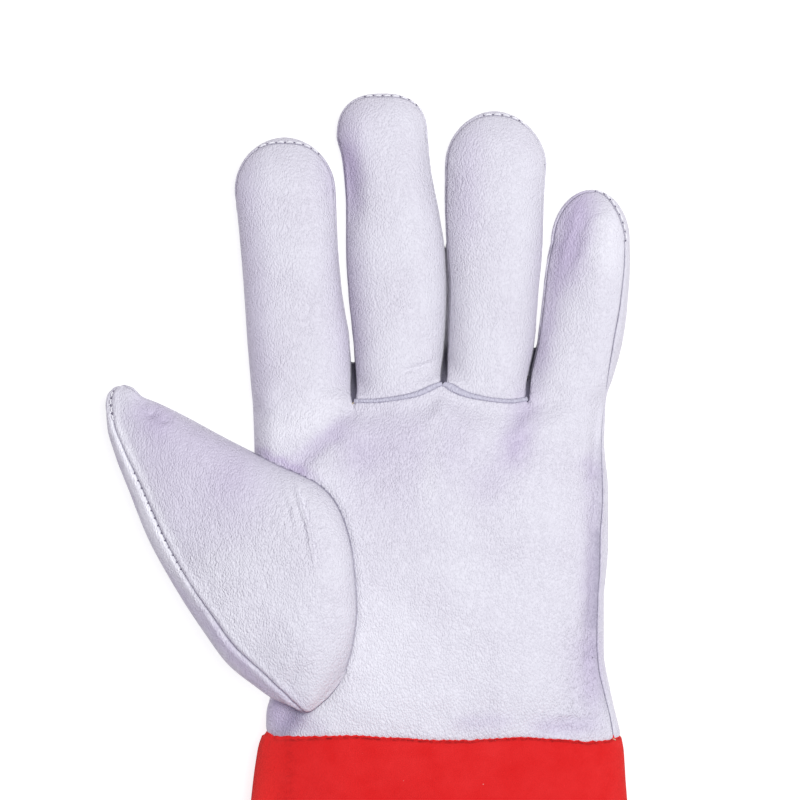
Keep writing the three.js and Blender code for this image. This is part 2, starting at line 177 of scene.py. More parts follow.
# The base seams of the middle and ring fingers, seen from above
BASE_SEAM = table(
    "x y",
    (-24.1, 101.9), (-19, 101.9), (-13.1, 102.5), (-7, 103.5), (-3, 104.6), (0.4, 106), (2.7, 107),
    (5.4, 105.5), (9.8, 103.9), (14.5, 102.9), (19, 102.2), (24, 101.8), (28.8, 102.6),
)
WELT_WIDTH = 1.5
WELT_HIGH = 0.42
WELT_CRUSH = 0.1
WELT_TONE = 0.2
PAST_WELT = 1.27

# The side seam on the little-finger side, seen from above
SIDE_SEAM = table(
    "y x",
    (-2, 55.6), (0, 55.2), (5, 54.4), (14, 52.2), (21, 50.6), (29, 50), (42, 50.3), (52, 50.9),
    (61, 51.0), (73, 51.8), (90, 51.5), (106, 53), (121, 55.3), (133, 57.4), (148, 58.7),
    (159, 57.9),
)

# Where the leather that rolls round the index side meets the back, underneath
ROLLED_SEAM = table("y x", (-2, -41), (60, -43), (100, -45), (150, -48.5), (170, -50))

# The wrist seam on the palm side, seen from above
WRIST_SEAM = table(
    "x y",
    (-50.4, 0.9), (-48.6, -0.3), (-45, -0.2), (-35, 0.5), (-25, 0.9), (-10, 0.2), (5, -0.4),
    (13, -0.2), (26.5, 0.4), (39, -0.3), (51, -0.9), (57, 0.1),
)
WRIST_STITCH = 2.3
WRIST_SCALLOP = 0.38
TUCK = 1.6
TUCK_DEPTH = 0.55

# The thumb: chords across it from the index side (near) to the outer edge (far), and its height over and
# under each. lean: how much its top is raised on the near half and lowered on the far one; seam: how far
# inside the outer edge its seam lies, seen from above; dip: the seam's turn from the inner edge, in degrees
THUMB = table(
    "near_x near_y far_x far_y near_z far_z over under lean seam dip",
    (-93.6, 107.4, -97.4, 106.6, 13, 13, 1.6, 1.6, 0, 0.5, 40),
    (-91.4, 106.4, -99, 103.9, 13, 13, 3.4, 3.3, 0.3, 1.1, 34),
    (-88.5, 103.7, -99.7, 100.6, 13, 13, 5, 4.8, 0.7, 1.6, 20),
    (-83.6, 101.7, -99.3, 94.4, 13, 13, 6.8, 6.2, 1.3, 2.4, 2),
    (-75.6, 97.8, -96.9, 86, 13.4, 13.4, 9, 7.8, 1.8, 3.3, -14),
    (-66.5, 92.9, -92.8, 75.6, 14.4, 14, 11, 9.2, 1.7, 4.2, -20),
    (-55.8, 87.4, -86.8, 60.7, 16, 15, 12.2, 10.6, 1.4, 5.0, -20),
    (-46.7, 82.9, -78.7, 46.1, 18.4, 16.6, 12.6, 11.6, 1, 5.0, -20),
    (-39.8, 80, -70, 32.8, 21, 18.8, 12.2, 12.6, 0.7, 5.6, -20),
    (-34.6, 77.2, -62, 22.3, 22.4, 20.6, 11.8, 13, 0.5, 5.8, -20),
    (-30.6, 73.4, -54.8, 16.6, 23.4, 22, 11.2, 13, 0.3, 5.3, -20),
    (-27, 66.4, -47.6, 11.8, 24.4, 23.4, 10.2, 11.6, 0.15, 3.8, -20),
    (-24.1, 54, -42.4, 10.0, 25.2, 24.4, 8.6, 9, 0, 1.2, -20),
    (-23.1, 40, -38.4, 8.4, 25.4, 24.8, 6.8, 6, 0, 0.2, -20),
    (-24.5, 28, -33.3, 11.7, 25, 24.8, 4, 3, 0, 0.1, -20),
    (-25.6, 23, -28.6, 16, 24.4, 24.2, 1.6, 1.6, 0, 0.1, -20),
)
THUMB["row"] = np.arange(len(THUMB["over"]), dtype=float)
THUMB_LAST = len(THUMB["over"]) - 1.0
THUMB_TIP_ROUND = 0.9

CUFF = table(
    "y left right top",
    (-153, -65.5, 71.5, 38), (-100, -62, 67, 34.5), (-50, -58.2, 62, 30), (-14, -55, 58.9, 26),
    (-5, -53.6, 58.3, 24.9), (-1.5, -52.2, 57.6, 23.9), (2, -49.6, 57.2, 23.3),
)

# Ridges (height above nought) and valleys (below) of the palm side, seen from above
FOLDS = table(
    "x0 y0 x1 y1 width height",
    # soft folds from the thumb's root up towards the fingers
    (-50, 89.5, -28, 102, 4.5, 0.8),
    (-43.5, 81.5, -26, 98.5, 3.6, -0.9),
    (-39, 77, -20, 92, 5.0, 0.5),
    (-50.5, 106, -48.5, 86, 3.6, 0.9),
    (-14, 97, -28, 76, 6.5, -0.6),
    (13, 98, -8, 68, 7.0, 0.6),
    (29, 98, 10, 74, 6.5, -0.6),
    (38, 92, 26, 60, 9.0, 0.5),
    (52, 88, 47, 62, 7.0, -0.5),
    (8, 60, -14, 34, 12.0, 0.4),
    # the middle finger's front, above its base seam, and the hollow on its thumb side
    (-9.4, 111.4, -1.0, 113.9, 0.9, -0.8),
    (0.4, 108.5, 1.2, 113.5, 1.6, 0.5),
    (-6.5, 113.6, 1, 116.4, 1.4, 0.35),
    (-25, 178, -25.5, 158, 4.5, -1.0),
    (-22, 190, -24, 180, 4.0, 0.4),
    # fine folds along the little finger and across its tip
    (47.4, 160, 41.4, 141, 1.4, -0.22),
    (44.4, 162, 38.9, 144, 0.9, 0.3),
    (49.5, 161, 43.5, 140, 2.0, 0.35),
    (50, 161, 55, 165, 0.8, 0.2),
    (49.5, 159, 54.5, 162.5, 0.7, -0.2),
    (49, 157, 54.5, 160, 0.8, 0.16),
    # puckers beside the side seam
    (50.5, 84, 45.5, 76, 2.6, -0.5),
    (44, 30, 49.5, 32.5, 1.0, 0.45),
    (43, 31.5, 48.5, 35, 1.6, -0.5),
    (49.5, 62, 48.5, 20, 3.2, -1.5),
    (50, 100, 50.5, 60, 2.6, -1.1),
    (45, 58, 43, 20, 4.0, 0.3),
    (49.5, 27, 44, 20, 1.8, -0.5),
    (45.5, 16, 49.5, 11.5, 1.0, -0.4),
    (44.5, 15, 48, 11, 0.9, 0.3),
    (38, 7.4, 51, 8, 0.9, 0.3),
    (36, 5.6, 50, 6, 0.9, -0.3),
    (39, 10.5, 50, 11.5, 0.9, 0.22),
    (36, 3.8, 42, 2.4, 2.4, -0.6),
    (47.5, 4, 47, 0.5, 0.8, 0.35),
    (50, 4, 49.6, 0.5, 0.7, -0.3),
    # the palm's left end, under the thumb
    (-47, 8, -38, 2, 3.0, -0.6),
)

# The thumb's own folds: the dimple behind its tip, the crumpled crease across its base, the crushed edge
THUMB_FOLDS = table(
    "x0 y0 x1 y1 width height",
    (-89.4, 105, -86, 98, 2.3, -1.5),
    (-87, 98.6, -79.6, 96.8, 1.6, -0.9),
    (-84.5, 102.2, -78, 98.8, 1.1, 0.5),
    (-80, 97.6, -75, 95.6, 0.8, 0.3),
    (-41.6, 76.5, -39.8, 70.5, 0.6, 0.6),
    (-40.6, 76.5, -38.8, 70.5, 0.5, -0.6),
    (-40.0, 71.5, -38, 64.5, 0.6, 0.75),
    (-39, 72.5, -37.1, 64.5, 0.5, -0.7),
    (-38.2, 66, -37.2, 60, 0.6, 0.65),
    (-37.3, 61.5, -35.9, 53, 0.6, 0.5),
    (-36.3, 61.5, -35, 53, 0.5, -0.5),
    (-43.5, 74, -41, 66, 0.8, 0.25),
    (-45.2, 72, -42, 62, 0.9, -0.25),
    (-35.5, 52, -35.4, 44, 0.7, 0.15),
    (-82.5, 63, -79.5, 59, 0.9, 0.4),
    (-82, 61.2, -78.4, 57.5, 0.8, -0.4),
    (-74, 50, -66, 58, 1.0, 0.14),
    (-50, 26, -39, 33, 0.8, 0.16),
    (-48, 24, -38.5, 30, 0.8, -0.16),
    (-56, 38, -45, 44, 0.9, 0.12),
    (-46, 14, -40, 22, 2.0, -0.5),
)

# Painted shade in lilac, seen from above, where the leather turns from the light, lies in a fold or in the
# thumb's shadow, and painted highlight (below nought) where it faces the light; some of the lilac is its own
# cast
HAND_TINT_AND_PAINTED_LIGHT = table(
    "x0 y0 x1 y1 width height",
    # the thumb side of each finger, turned away from the light
    (-59.5, 168, -54, 96, 7.5, 0.4),
    (-58.5, 182, -59.5, 160, 6.0, 0.25),
    (-28.5, 194, -26.5, 165, 6.5, 0.5),
    (-26, 182, -25.5, 158, 4.0, 0.6),
    (-26, 155, -24.5, 108, 6.0, 0.4),
    (11, 186, 9.5, 150, 5.0, 0.35),
    (46.5, 169, 39, 138, 5.5, 1.0),
    (37.5, 140, 32, 110, 3.0, 0.6),
    (54.5, 162, 53, 140, 4.0, -0.4),
    # the upper palm, and the folds that run into it
    (-25, 92, 12, 89, 11.0, 0.35),
    (-29, 96, -20, 82, 6.0, 0.3),
    (-27, 78, 0, 72, 12.0, 0.15),
    (29.5, 106, 24, 84, 4.5, 0.65),
    (27, 92, 14, 72, 6.0, 0.3),
    (-44, 80.5, -27, 97, 2.8, 0.55),
    (-51, 91, -29, 102.5, 4.5, -0.45),
    # along the upper edge of the thumb's base
    (-55, 88, -36, 79, 1.9, 0.9),
    (46, 86, 50, 79, 3.0, 0.35),
    (1, 98, -2, 72, 3.5, -0.2),
    (-20, 44, -10, 2, 20.0, -0.25),
    # beside the side seam and down to the wrist
    (49.6, 84, 48.6, 42, 3.6, 0.4),
    (47.6, 50, 49.5, 6, 3.6, 0.45),
    (46, 32, 46, 9, 5.5, 0.35),
    (30, 3.5, 49, 4, 3.2, 0.6),
    (6, 5, 24, 5.5, 2.6, 0.35),
    (54, 100, 53.6, 20, 1.2, -0.3),
    # under the thumb's lower end, where its painted shadow lies
    (-50, 12, -43, 2.5, 7.0, 1.0),
    (-44, 4, -32, 2.5, 4.0, 0.3),
)
# Painted shade and painted highlight on the thumb, seen from above: shade over its upper part and behind its
# tip, highlight lower down
THUMB_PAINTED_LIGHT = table(
    "x0 y0 x1 y1 width height",
    (-88, 101, -50, 76, 12.0, 0.5),
    (-66, 80, -58, 60, 10.0, 0.2),
    (-88, 93, -72, 58, 8.0, 0.25),
    (-72, 50, -54, 28, 8.0, -0.3),
    (-92, 101.5, -80, 95, 5.5, 0.4),
    # the outer edge: a band of painted highlight on the front beside the seam, and painted highlight and
    # shade on the back leather
    (-94.5, 92, -70, 36, 2.0, -0.35),
    (-80.5, 49.5, -49, 12, 2.6, 0.8),
    (-98.2, 98, -86.5, 67, 1.8, -1.0),
    (-88, 70, -77.5, 50.5, 1.6, -0.9),
    (-99.5, 92, -88, 64, 0.8, 0.6),
    (-52, 17, -38, 8, 2.6, 0.4),
)
# A painted highlight on the cuff's thumb side, whose flank turns away from the light
CUFF_PAINTED_HIGHLIGHT = table("x0 y0 x1 y1 width height", (-60, -80, -53, -1, 7.0, 1.0))


# Curves and sections


def ease(value, start, end):
    """Nought up to start, one from end on, and a smooth S between them."""
    t = np.clip((value - start) / (end - start), 0, 1)
    return t * t * (3 - 2 * t)


def follow(rows, name, at, key="y"):
    """A column of a table at any place: a cubic between each two rows, whose slope at a row is the harmonic
    mean of the slopes on its two sides, or nought where the column turns."""
    knots, values = rows[key], rows[name]
    at = np.clip(at, knots[0], knots[-1])
    step = np.diff(knots)
    rise = np.diff(values) / step
    product = rise[1:] * rise[:-1]
    total = np.where(product > 0, rise[1:] + rise[:-1], 1)
    slope = np.concatenate([rise[:1], np.where(product > 0, 2 * product / total, 0), rise[-1:]])
    i = np.clip(np.searchsorted(knots, at, side="right") - 1, 0, len(step) - 1)
    t = (at - knots[i]) / step[i]
    return (
        values[i] * (1 + 2 * t) * (1 - t) ** 2
        + slope[i] * step[i] * t * (1 - t) ** 2
        + values[i + 1] * t * t * (3 - 2 * t)
        - slope[i + 1] * step[i] * t * t * (1 - t)
    )


def round_box(turn, squareness):
    """The unit rounded box at a turn: |across|^n + |up|^n = 1 along the ray with that angle."""
    across, up = np.cos(turn), np.sin(turn)
    radius = (np.abs(across) ** squareness + np.abs(up) ** squareness) ** (-1 / squareness)
    return across * radius, up * radius


def other_side(share, squareness):
    """The rounded box's other coordinate, where one of them is share."""
    return (1 - np.clip(np.abs(share), 0, 1) ** squareness) ** (1 / squareness)


def pressed(across, up, left, right, top):
    """The x and z of a point of a section pressed on the table: across from its middle, up or down from its
    waist."""
    waist = top * WAIST
    x = (left + right) / 2 + (right - left) / 2 * across
    return x, np.maximum(waist + up * np.where(up > 0, top - waist, waist + PRESSED), 0)


def body_section(y, turn, left, right, top, squareness):
    """The point of such a section at a turn."""
    x, z = pressed(*round_box(turn, squareness), left, right, top)
    return np.stack(np.broadcast_arrays(x, y, z), axis=-1)


def share_across(x, left, right):
    """Where x lies between left, at -1, and right, at 1."""
    return (x - (left + right) / 2) / ((right - left) / 2)


def turn_at_height(z, top, squareness):
    """The turn, from the right-hand side, at which a section reaches the height z."""
    waist = top * WAIST
    high = np.where(z > waist, top - waist, waist + PRESSED)
    up = np.clip((z - waist) / high, -1, 1)
    return np.arctan2(up, other_side(up, squareness))


def turn_at_x(x, left, right, squareness, upwards):
    """The turn, from the right-hand side, at which a section's upper or lower half passes x."""
    across = np.clip(share_across(x, left, right), -1, 1)
    return np.arctan2(upwards * other_side(across, squareness), across)


def palm_size(y):
    return [follow(PALM, name, y) for name in SIZES]


def finger_size(finger, y):
    return [follow(finger["rows"], name, y) for name in SIZES]


def fallen_in(finger, y, across, up):
    """How far a point of a finger's top has sunk on one side: eased along the finger, across and up."""
    sunk = finger.get("sunk")
    if not sunk:
        return 0.0
    along = sunk["by"] * ease(y, sunk["from"], sunk["to"])
    return along * ease(sunk["side"] * across, -0.35, 0.95) * ease(up, 0, 0.7)


def finger_skin(finger, y, turn):
    """A point of a finger's section, with its lower half's bulge: a bell in height on one side."""
    points = body_section(y, turn, *finger_size(finger, y), FINGER_SQUARENESS)
    points[..., 2] -= fallen_in(finger, y, *round_box(turn, FINGER_SQUARENESS))
    swell = finger.get("swell")
    if swell:
        start, end = (ease(y, swell[k] - SWELL_EASE, swell[k] + SWELL_EASE) for k in ("from", "to"))
        along = start * (1 - end)
        beside = np.clip(swell["side"] * np.cos(turn), 0, 1)
        low = np.exp(-(((points[..., 2] - SWELL_HEIGHT) / SWELL_WIDTH) ** 2))
        points[..., 0] += swell["side"] * swell["by"] * along * beside * low
    return points


def tip_skin(finger, across, up):
    """A fingertip closes over its last section. A point of that section, drawn in to the share close of its
    way out, lies ahead by bend^(2/square) of the tip's length, where bend^2 + close^square = 1."""
    tip = finger["tip"]
    y, left, right, top = (finger["rows"][name][-1] for name in ("y", "left", "right", "top"))
    close = np.clip(np.abs(across) ** FINGER_SQUARENESS + np.abs(up) ** FINGER_SQUARENESS, 0, 1)
    bend = np.sqrt(1 - close ** (tip["square"] / FINGER_SQUARENESS))
    x, z = pressed(across, up, left, right, top)
    x = x + (tip["x"] - (left + right) / 2) * bend
    z = z - fallen_in(finger, y, across, up) * (1 - bend)
    ahead = bend ** (2 / tip["square"])
    return np.stack(np.broadcast_arrays(x, y + (tip["y"] - y) * ahead, z), axis=-1)


def palm_skin(y, turn):
    return body_section(y, turn, *palm_size(y), HAND_SQUARENESS)


def on_palm(x, y):
    """The point of the palm side over a place on the table."""
    left, right, _ = palm_size(y)
    return palm_skin(y, turn_at_x(x, left, right, HAND_SQUARENESS, 1))


def thumb_skin(row, turn):
    """A point round a chord of the thumb. At both ends chords and heights close in a quarter circle."""
    at = {name: follow(THUMB, name, row, "row") for name in THUMB if name != "row"}
    ends = np.minimum(row, THUMB_LAST - row) / THUMB_TIP_ROUND
    close = np.sqrt(1 - (1 - np.clip(ends, 0, 1)) ** 2)
    along, up = round_box(turn, THUMB_SQUARENESS)
    high = np.where(up > 0, at["over"], at["under"]) * close
    point = []
    for axis in "xyz":
        near, far = at["near_" + axis], at["far_" + axis]
        point.append((near + far) / 2 + (near - far) / 2 * along * close)
    lean = at["lean"] * along * (1 - along**2) * ease(up, 0, 0.6)
    point[2] = point[2] + up * high + lean
    return np.stack(np.broadcast_arrays(*point), axis=-1)


# Seams between the panels of a finger


def web_beside(name, side):
    """The web on that side of a finger, or None on the outer sides of the hand."""
    i = ORDER.index(name)
    return WEBS.get((ORDER[i - 1], name) if side < 0 else (name, ORDER[min(i + 1, 3)]))


def gusset_height(name, side, y, part):
    """The height on a finger's side of a gusset's line: part is 0 at the back seam and 1 at the front one.
    The front seam comes down from the web; towards the fingertip both seams meet in the tip seam."""
    openness = np.clip((FINGERS[name]["rows"]["y"][-1] - y) / GUSSET_TAPER, 0, 1)
    openness = openness * (2 - openness)
    level = TIP_SEAM_SIDE + (BACK_SEAM + (FRONT_SEAM - BACK_SEAM) * part - TIP_SEAM_SIDE) * openness
    web = web_beside(name, side)
    if not web:
        return level
    lowered = ease(y, web["front"], web["front"] + WEB_EASE)
    return level + part * (web["high"] - FRONT_SEAM) * (1 - lowered)


def side_turn(name, side, y, part):
    """The turn of a seam line on a finger's side, counted from the right through the top."""
    finger = FINGERS[name]
    left, right, top = finger_size(finger, y)
    web = web_beside(name, side)
    level = turn_at_height(gusset_height(name, side, y, part if web else 1.0), top, FINGER_SQUARENESS)
    if web:
        return level if side > 0 else math.pi - level
    if side > 0:
        return turn_at_x(follow(SIDE_SEAM, "x", y), left, right, FINGER_SQUARENESS, 1)
    last = finger["rows"]["y"][-1]
    rolled = turn_at_x(follow(ROLLED_SEAM, "x", y), left, right, FINGER_SQUARENESS, -1) % (2 * math.pi)
    return rolled + (math.pi - level - rolled) * ease(y, last - ROLL, last)


def tip_seam(name, places):
    """The seam over a fingertip, as across and up in its last section: from the side seam's end up to the
    crown and down to the other side's, at equal steps along it for places from 0 to 1."""
    finger = FINGERS[name]
    last = finger["rows"]["y"][-1]
    crown = finger["tip"]["crown"]
    ends = [round_box(side_turn(name, side, last, 1.0), FINGER_SQUARENESS) for side in (-1, 1)]
    way = np.linspace(-1, 1, 801)
    end_across, end_up = (np.where(way < 0, ends[0][k], ends[1][k]) for k in (0, 1))
    across = crown[0] + np.abs(way) * (end_across - crown[0])
    up = end_up + (crown[1] - end_up) * (1 - way**2) ** 3
    steps = np.linalg.norm(np.diff(tip_skin(finger, across, up), axis=0), axis=1)
    done = np.concatenate([[0], np.cumsum(steps)]) / steps.sum()
    return np.interp(places, done, across), np.interp(places, done, up)


def palm_turn(side, y, upwards, web):
    """The turn of the line that bounds a finger's part of the palm: below a web, or the outer seam."""
    left, right, _ = palm_size(y)
    if web:
        x = web["x"]
    else:
        x = follow(ROLLED_SEAM, "x", y) if side < 0 else follow(SIDE_SEAM, "x", y)
        upwards = side
    return turn_at_x(x, left, right, HAND_SQUARENESS, upwards) % (2 * math.pi)


def web_start(web, part):
    """The y at which a web's gusset begins: slowly at first on its way from the back to the front, so that
    the gusset rises steeply from the back and lies flatter towards the palm."""
    return web["back"] + (web["front"] - web["back"]) * part**WEB_ARCH


def pinched(name, side, y, part):
    """The point of a finger's seam line at y. At the web the leather is drawn over to the line between the
    two fingers; from there it opens along a quarter circle to the finger's own edge, sinks along it and
    passes to its place just under it. The back seam lies lower and is at its place once it has opened."""
    finger = FINGERS[name]
    skin = finger_skin(finger, y, side_turn(name, side, y, part))
    web = web_beside(name, side)
    if not web:
        return skin
    start = web_start(web, part)
    neighbour = FINGERS[ORDER[ORDER.index(name) + side]]
    own, other = finger_size(finger, y)[side > 0], finger_size(neighbour, y)[side < 0]
    between = web["x"] + ((own + other) / 2 - web["x"]) * ease(y, web["front"], web["back"])
    opened = np.sqrt(1 - (1 - np.clip((y - start) / WEB_ROUND, 0, 1)) ** 2)
    sunk = 1 - part * (1 - ease(y, start + 0.7 * WEB_EASE, start + 1.1 * WEB_EASE))
    x = between + (own - between + (skin[..., 0] - own) * sunk) * opened
    return np.stack(np.broadcast_arrays(x, y, skin[..., 2]), axis=-1)


# Grids


def spread(length, step, seams=(True, True)):
    """Places from 0 to 1 along a line of that length: step apart, and closer together beside a seam."""
    places = [np.linspace(0, 1, max(2, round(length / step)) + 1)]
    near = np.array(SEAM_STEPS) / length
    if seams[0]:
        places = [p[(p == 0) | (p > near[-1])] for p in places] + [near]
    if seams[1]:
        places = [p[(p == 1) | (p < 1 - near[-1])] for p in places] + [1 - near]
    return np.unique(np.concatenate(places))


def even_shares(skin, start, end, across):
    """For each row, the share of the turn from start to end at which the wanted share of the way is done."""
    dense = np.linspace(0, 1, 181)
    turns = start[:, None] + (end - start)[:, None] * dense
    steps = np.linalg.norm(np.diff(skin(turns), axis=1), axis=-1)
    way = np.concatenate([np.zeros((len(start), 1)), np.cumsum(steps, axis=1)], axis=1)
    total = np.maximum(way[:, -1:], 1e-9)
    shares = np.array([np.interp(across, w, dense) for w in way / total])
    return shares, total


def panel_between(skin, turns, y, across):
    """Part of a skin between two lines whose turns at any y are given. y is an array of rows by columns;
    across holds the columns' places, as shares of the way round at the middle column's y. Also that way."""
    row_y = y[:, len(across) // 2]
    shares, total = even_shares(lambda t: skin(row_y[:, None], t), *turns(row_y), across)
    start, end = turns(y)
    return skin(y, start + (end - start) * shares), total


def finger_panel(name, y, across, front):
    """Part of a finger's skin between two of its seam lines, from left to right. Beside a web the edge is
    drawn over to the line of the web."""
    finger = FINGERS[name]
    part = 1.0 if front else 0.0

    def turns(at_y):
        left, right = (side_turn(name, side, at_y, part) for side in (-1, 1))
        return left, right if front else right + 2 * math.pi

    points, total = panel_between(lambda at_y, turn: finger_skin(finger, at_y, turn), turns, y, across)
    for side, place in ((-1, across[None, :]), (1, 1 - across[None, :])):
        if web_beside(name, side):
            edge_y = y[:, :1] if side < 0 else y[:, -1:]
            edge_turn = side_turn(name, side, edge_y, part)
            shift = pinched(name, side, edge_y, part) - finger_skin(finger, edge_y, edge_turn)
            near = np.exp(-((place * total / PINCH_WIDTH) ** 2))
            points = points + shift * near[..., None]
    return points


def palm_panel(name, y, across, front):
    """A finger's share of the palm or of the back of the hand, from the wrist to its base."""
    webs = [web_beside(name, side) for side in (-1, 1)]
    upwards = 1 if front else -1

    def turns(at_y):
        left, right = (palm_turn(side, at_y, upwards, web) for side, web in zip((-1, 1), webs))
        if front:
            return left, right
        return left, right + 2 * math.pi * (right < left)

    return panel_between(palm_skin, turns, y, across)[0]


def hand_strip(name, y, base_y, across, front):
    """One finger's strip of the hand: the palm's skin below, passing smoothly into the finger's over the
    last stretch before base_y."""
    width = np.ptp(palm_panel(name, np.full((1, len(across)), 90.0), across, front)[0, :, 0])
    near = np.zeros(len(across))
    for side, place in ((-1, across), (1, 1 - across)):
        if web_beside(name, side):
            near = near + np.exp(-((place * width / BLEND_WIDTH) ** 2))
    blend = BLEND - (BLEND - BLEND_AT_WEB) * near
    share = ease(y, base_y - blend, base_y)[..., None]
    return palm_panel(name, y, across, front) * (1 - share) + finger_panel(name, y, across, front) * share


# Meshes


def weld(grids):
    """One mesh out of grids that share points along their edges. Each grid is (points, outwards): its faces
    are two triangles a cell, turned over where outwards is -1. Triangles that have closed up are left out."""
    points, faces, start = [], [], 0
    for grid, outwards in grids:
        rows, columns = grid.shape[:2]
        index = start + np.arange(rows * columns).reshape(rows, columns)
        a, b, c, d = index[:-1, :-1], index[:-1, 1:], index[1:, 1:], index[1:, :-1]
        cells = np.stack([np.stack([a, b, c], -1), np.stack([a, c, d], -1)]).reshape(-1, 3)
        faces.append(cells[:, ::outwards])
        points.append(grid.reshape(-1, 3))
        start += rows * columns
    points, faces = np.concatenate(points), np.concatenate(faces)
    _, first, place = np.unique(np.round(points, 4), axis=0, return_index=True, return_inverse=True)
    faces = place.reshape(-1)[faces]
    a, b, c = faces.T
    return points[first], faces[(a != b) & (b != c) & (c != a)]


def normals_of(points, faces):
    """The sum of the face normals round each point, made one long."""
    corners = points[faces]
    face_normals = np.cross(corners[:, 1] - corners[:, 0], corners[:, 2] - corners[:, 0])
    sums = [
        sum(np.bincount(faces[:, k], face_normals[:, axis], len(points)) for k in range(3))
        for axis in range(3)
    ]
    normals = np.stack(sums, axis=-1)
    return normals / np.maximum(np.linalg.norm(normals, axis=1, keepdims=True), 1e-12)


def reach(points, line):
    """The distance from each point to a line through many points, taken segment by segment."""
    points, line = points.astype(np.float32), line.astype(np.float32)
    start, way = line[:-1], np.diff(line, axis=0)
    long = np.maximum((way**2).sum(1), 1e-9)
    nearest = np.empty(len(points), np.float32)
    for block in np.array_split(np.arange(len(points)), max(1, len(points) * len(start) // 1500000)):
        offset = points[block][:, None, :] - start
        share = np.clip((offset * way).sum(2) / long, 0, 1)
        nearest[block] = np.sqrt(((offset - share[..., None] * way) ** 2).sum(2).min(1))
    return nearest


def reach_any(points, lines):
    """The distance to the nearest of several lines, 99 mm at most."""
    return np.min([np.full(len(points), 99.0), *(reach(points, line) for line in lines)], axis=0)


def reach_above(points, line):
    """The distance from each point to a line, seen from above."""
    return reach(points * (1, 1, 0), line * (1, 1, 0))


def ripple(x, y, size, seed, waves=7):
    """A gentle random surface between about -1 and 1: a sum of plane waves of nearly the same length."""
    draw = np.random.default_rng(seed)
    turns = draw.uniform(0, 2 * math.pi, (waves, 2))
    sizes = size * draw.uniform(0.7, 1.5, waves)
    total = sum(
        np.sin(2 * math.pi * (x * math.cos(a) + y * math.sin(a)) / s + b) for (a, b), s in zip(turns, sizes)
    )
    return total / math.sqrt(waves)


def folds(x, y, rows):
    """Ridges and valleys: each is a line whose height falls off as a bell beside it and fades to its ends.
    The lines wander a little to both sides."""
    total = np.zeros_like(x)
    wander = 0.35 * ripple(x, y, 5, 41) + 0.12 * ripple(x, y, 1.8, 42)
    for x0, y0, x1, y1, width, height in zip(*(rows[k] for k in "x0 y0 x1 y1 width height".split())):
        way = np.array((x1 - x0, y1 - y0))
        long = math.hypot(*way)
        along = ((x - x0) * way[0] + (y - y0) * way[1]) / long**2
        beside = ((x - x0) * way[1] - (y - y0) * way[0]) / long + wander
        fade = ease(along, -0.25, 0.3) * (1 - ease(along, 0.7, 1.25))
        total += height * fade * np.exp(-((beside / width) ** 2))
    return total


def inside(x, y, outline):
    """Whether points lie inside a closed outline: a ray from them crosses it an odd number of times."""
    ax, ay = outline.T
    bx, by = np.roll(outline, -1, axis=0).T
    crosses = (ay > y[:, None]) != (by > y[:, None])
    at = ax + (y[:, None] - ay) / np.where(by == ay, 1, by - ay) * (bx - ax)
    return (crosses & (x[:, None] < at)).sum(1) % 2 == 1


def new_object(name, data):
    made = bpy.data.objects.new(name, data)
    bpy.context.scene.collection.objects.link(made)
    return made


def make_piece(name, node, points, faces, layers, material, slot, wall):
    """A piece that stands for a node, from millimetre points; wall is its thickness inwards."""
    mesh = bpy.data.meshes.new(name)
    mesh.vertices.add(len(points))
    mesh.vertices.foreach_set("co", ((points + WRIST_PLACE) * MM).astype(np.float32).ravel())
    mesh.loops.add(faces.size)
    mesh.loops.foreach_set("vertex_index", faces.astype(np.int32).ravel())
    mesh.polygons.add(len(faces))
    mesh.polygons.foreach_set("loop_start", np.arange(0, faces.size, 3, dtype=np.int32))
    mesh.polygons.foreach_set("use_smooth", np.ones(len(faces), bool))
    mesh.update(calc_edges=True)
    for key, values in layers.items():
        layer = mesh.attributes.new(key, "FLOAT", "POINT")
        layer.data.foreach_set("value", values.astype(np.float32))
    mesh.validate()
    mesh.materials.append(material)
    piece = new_object(name, mesh)
    if wall:
        solidify = piece.modifiers.new("wall", "SOLIDIFY")
        solidify.thickness = wall * MM
        solidify.offset = -1
    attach(piece, "root")
    if node:
        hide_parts(node)


# Materials


def linear(hex_colour):
    """An sRGB hex colour as linear values."""
    values = [int(hex_colour[i : i + 2], 16) / 255 for i in (1, 3, 5)]
    return [v / 12.92 if v <= 0.04045 else ((v + 0.055) / 1.055) ** 2.4 for v in values] + [1.0]


def add(tree, kind, inputs=None, **settings):
    """Adds a node: settings are its own properties, inputs its sockets' values or where they come from."""
    node = tree.nodes.new(kind)
    for key, value in settings.items():
        setattr(node, key, value)
    for key, value in (inputs or {}).items():
        if isinstance(value, bpy.types.NodeSocket):
            tree.links.new(value, node.inputs[key])
        else:
            node.inputs[key].default_value = value
    return node


def per_metre(millimetres):
    """The scale of a pattern on metre coordinates whose features are that many millimetres across."""
    return 1000 / millimetres


def new_material(name):
    """An empty material and its nodes."""
    material = bpy.data.materials.new(name)
    material.use_nodes = True
    tree = material.node_tree
    tree.nodes.clear()
    return material, tree


def surface(tree, inputs):
    shader = add(tree, "ShaderNodeBsdfPrincipled", inputs)
    add(tree, "ShaderNodeOutputMaterial", {"Surface": shader.outputs["BSDF"]})


def attributes_of(tree, names):
    return [add(tree, "ShaderNodeAttribute", attribute_name=name).outputs["Fac"] for name in names.split()]


def noise(tree, place, millimetres, detail, roughness=0.5, output="Fac"):
    inputs = {"Vector": place, "Scale": per_metre(millimetres), "Detail": detail, "Roughness": roughness}
    return add(tree, "ShaderNodeTexNoise", inputs).outputs[output]


def pebbles(tree, place, millimetres, smoothness):
    inputs = {"Vector": place, "Scale": per_metre(millimetres), "Randomness": 1.0, "Smoothness": smoothness}
    return add(tree, "ShaderNodeTexVoronoi", inputs, feature="SMOOTH_F1").outputs["Distance"]


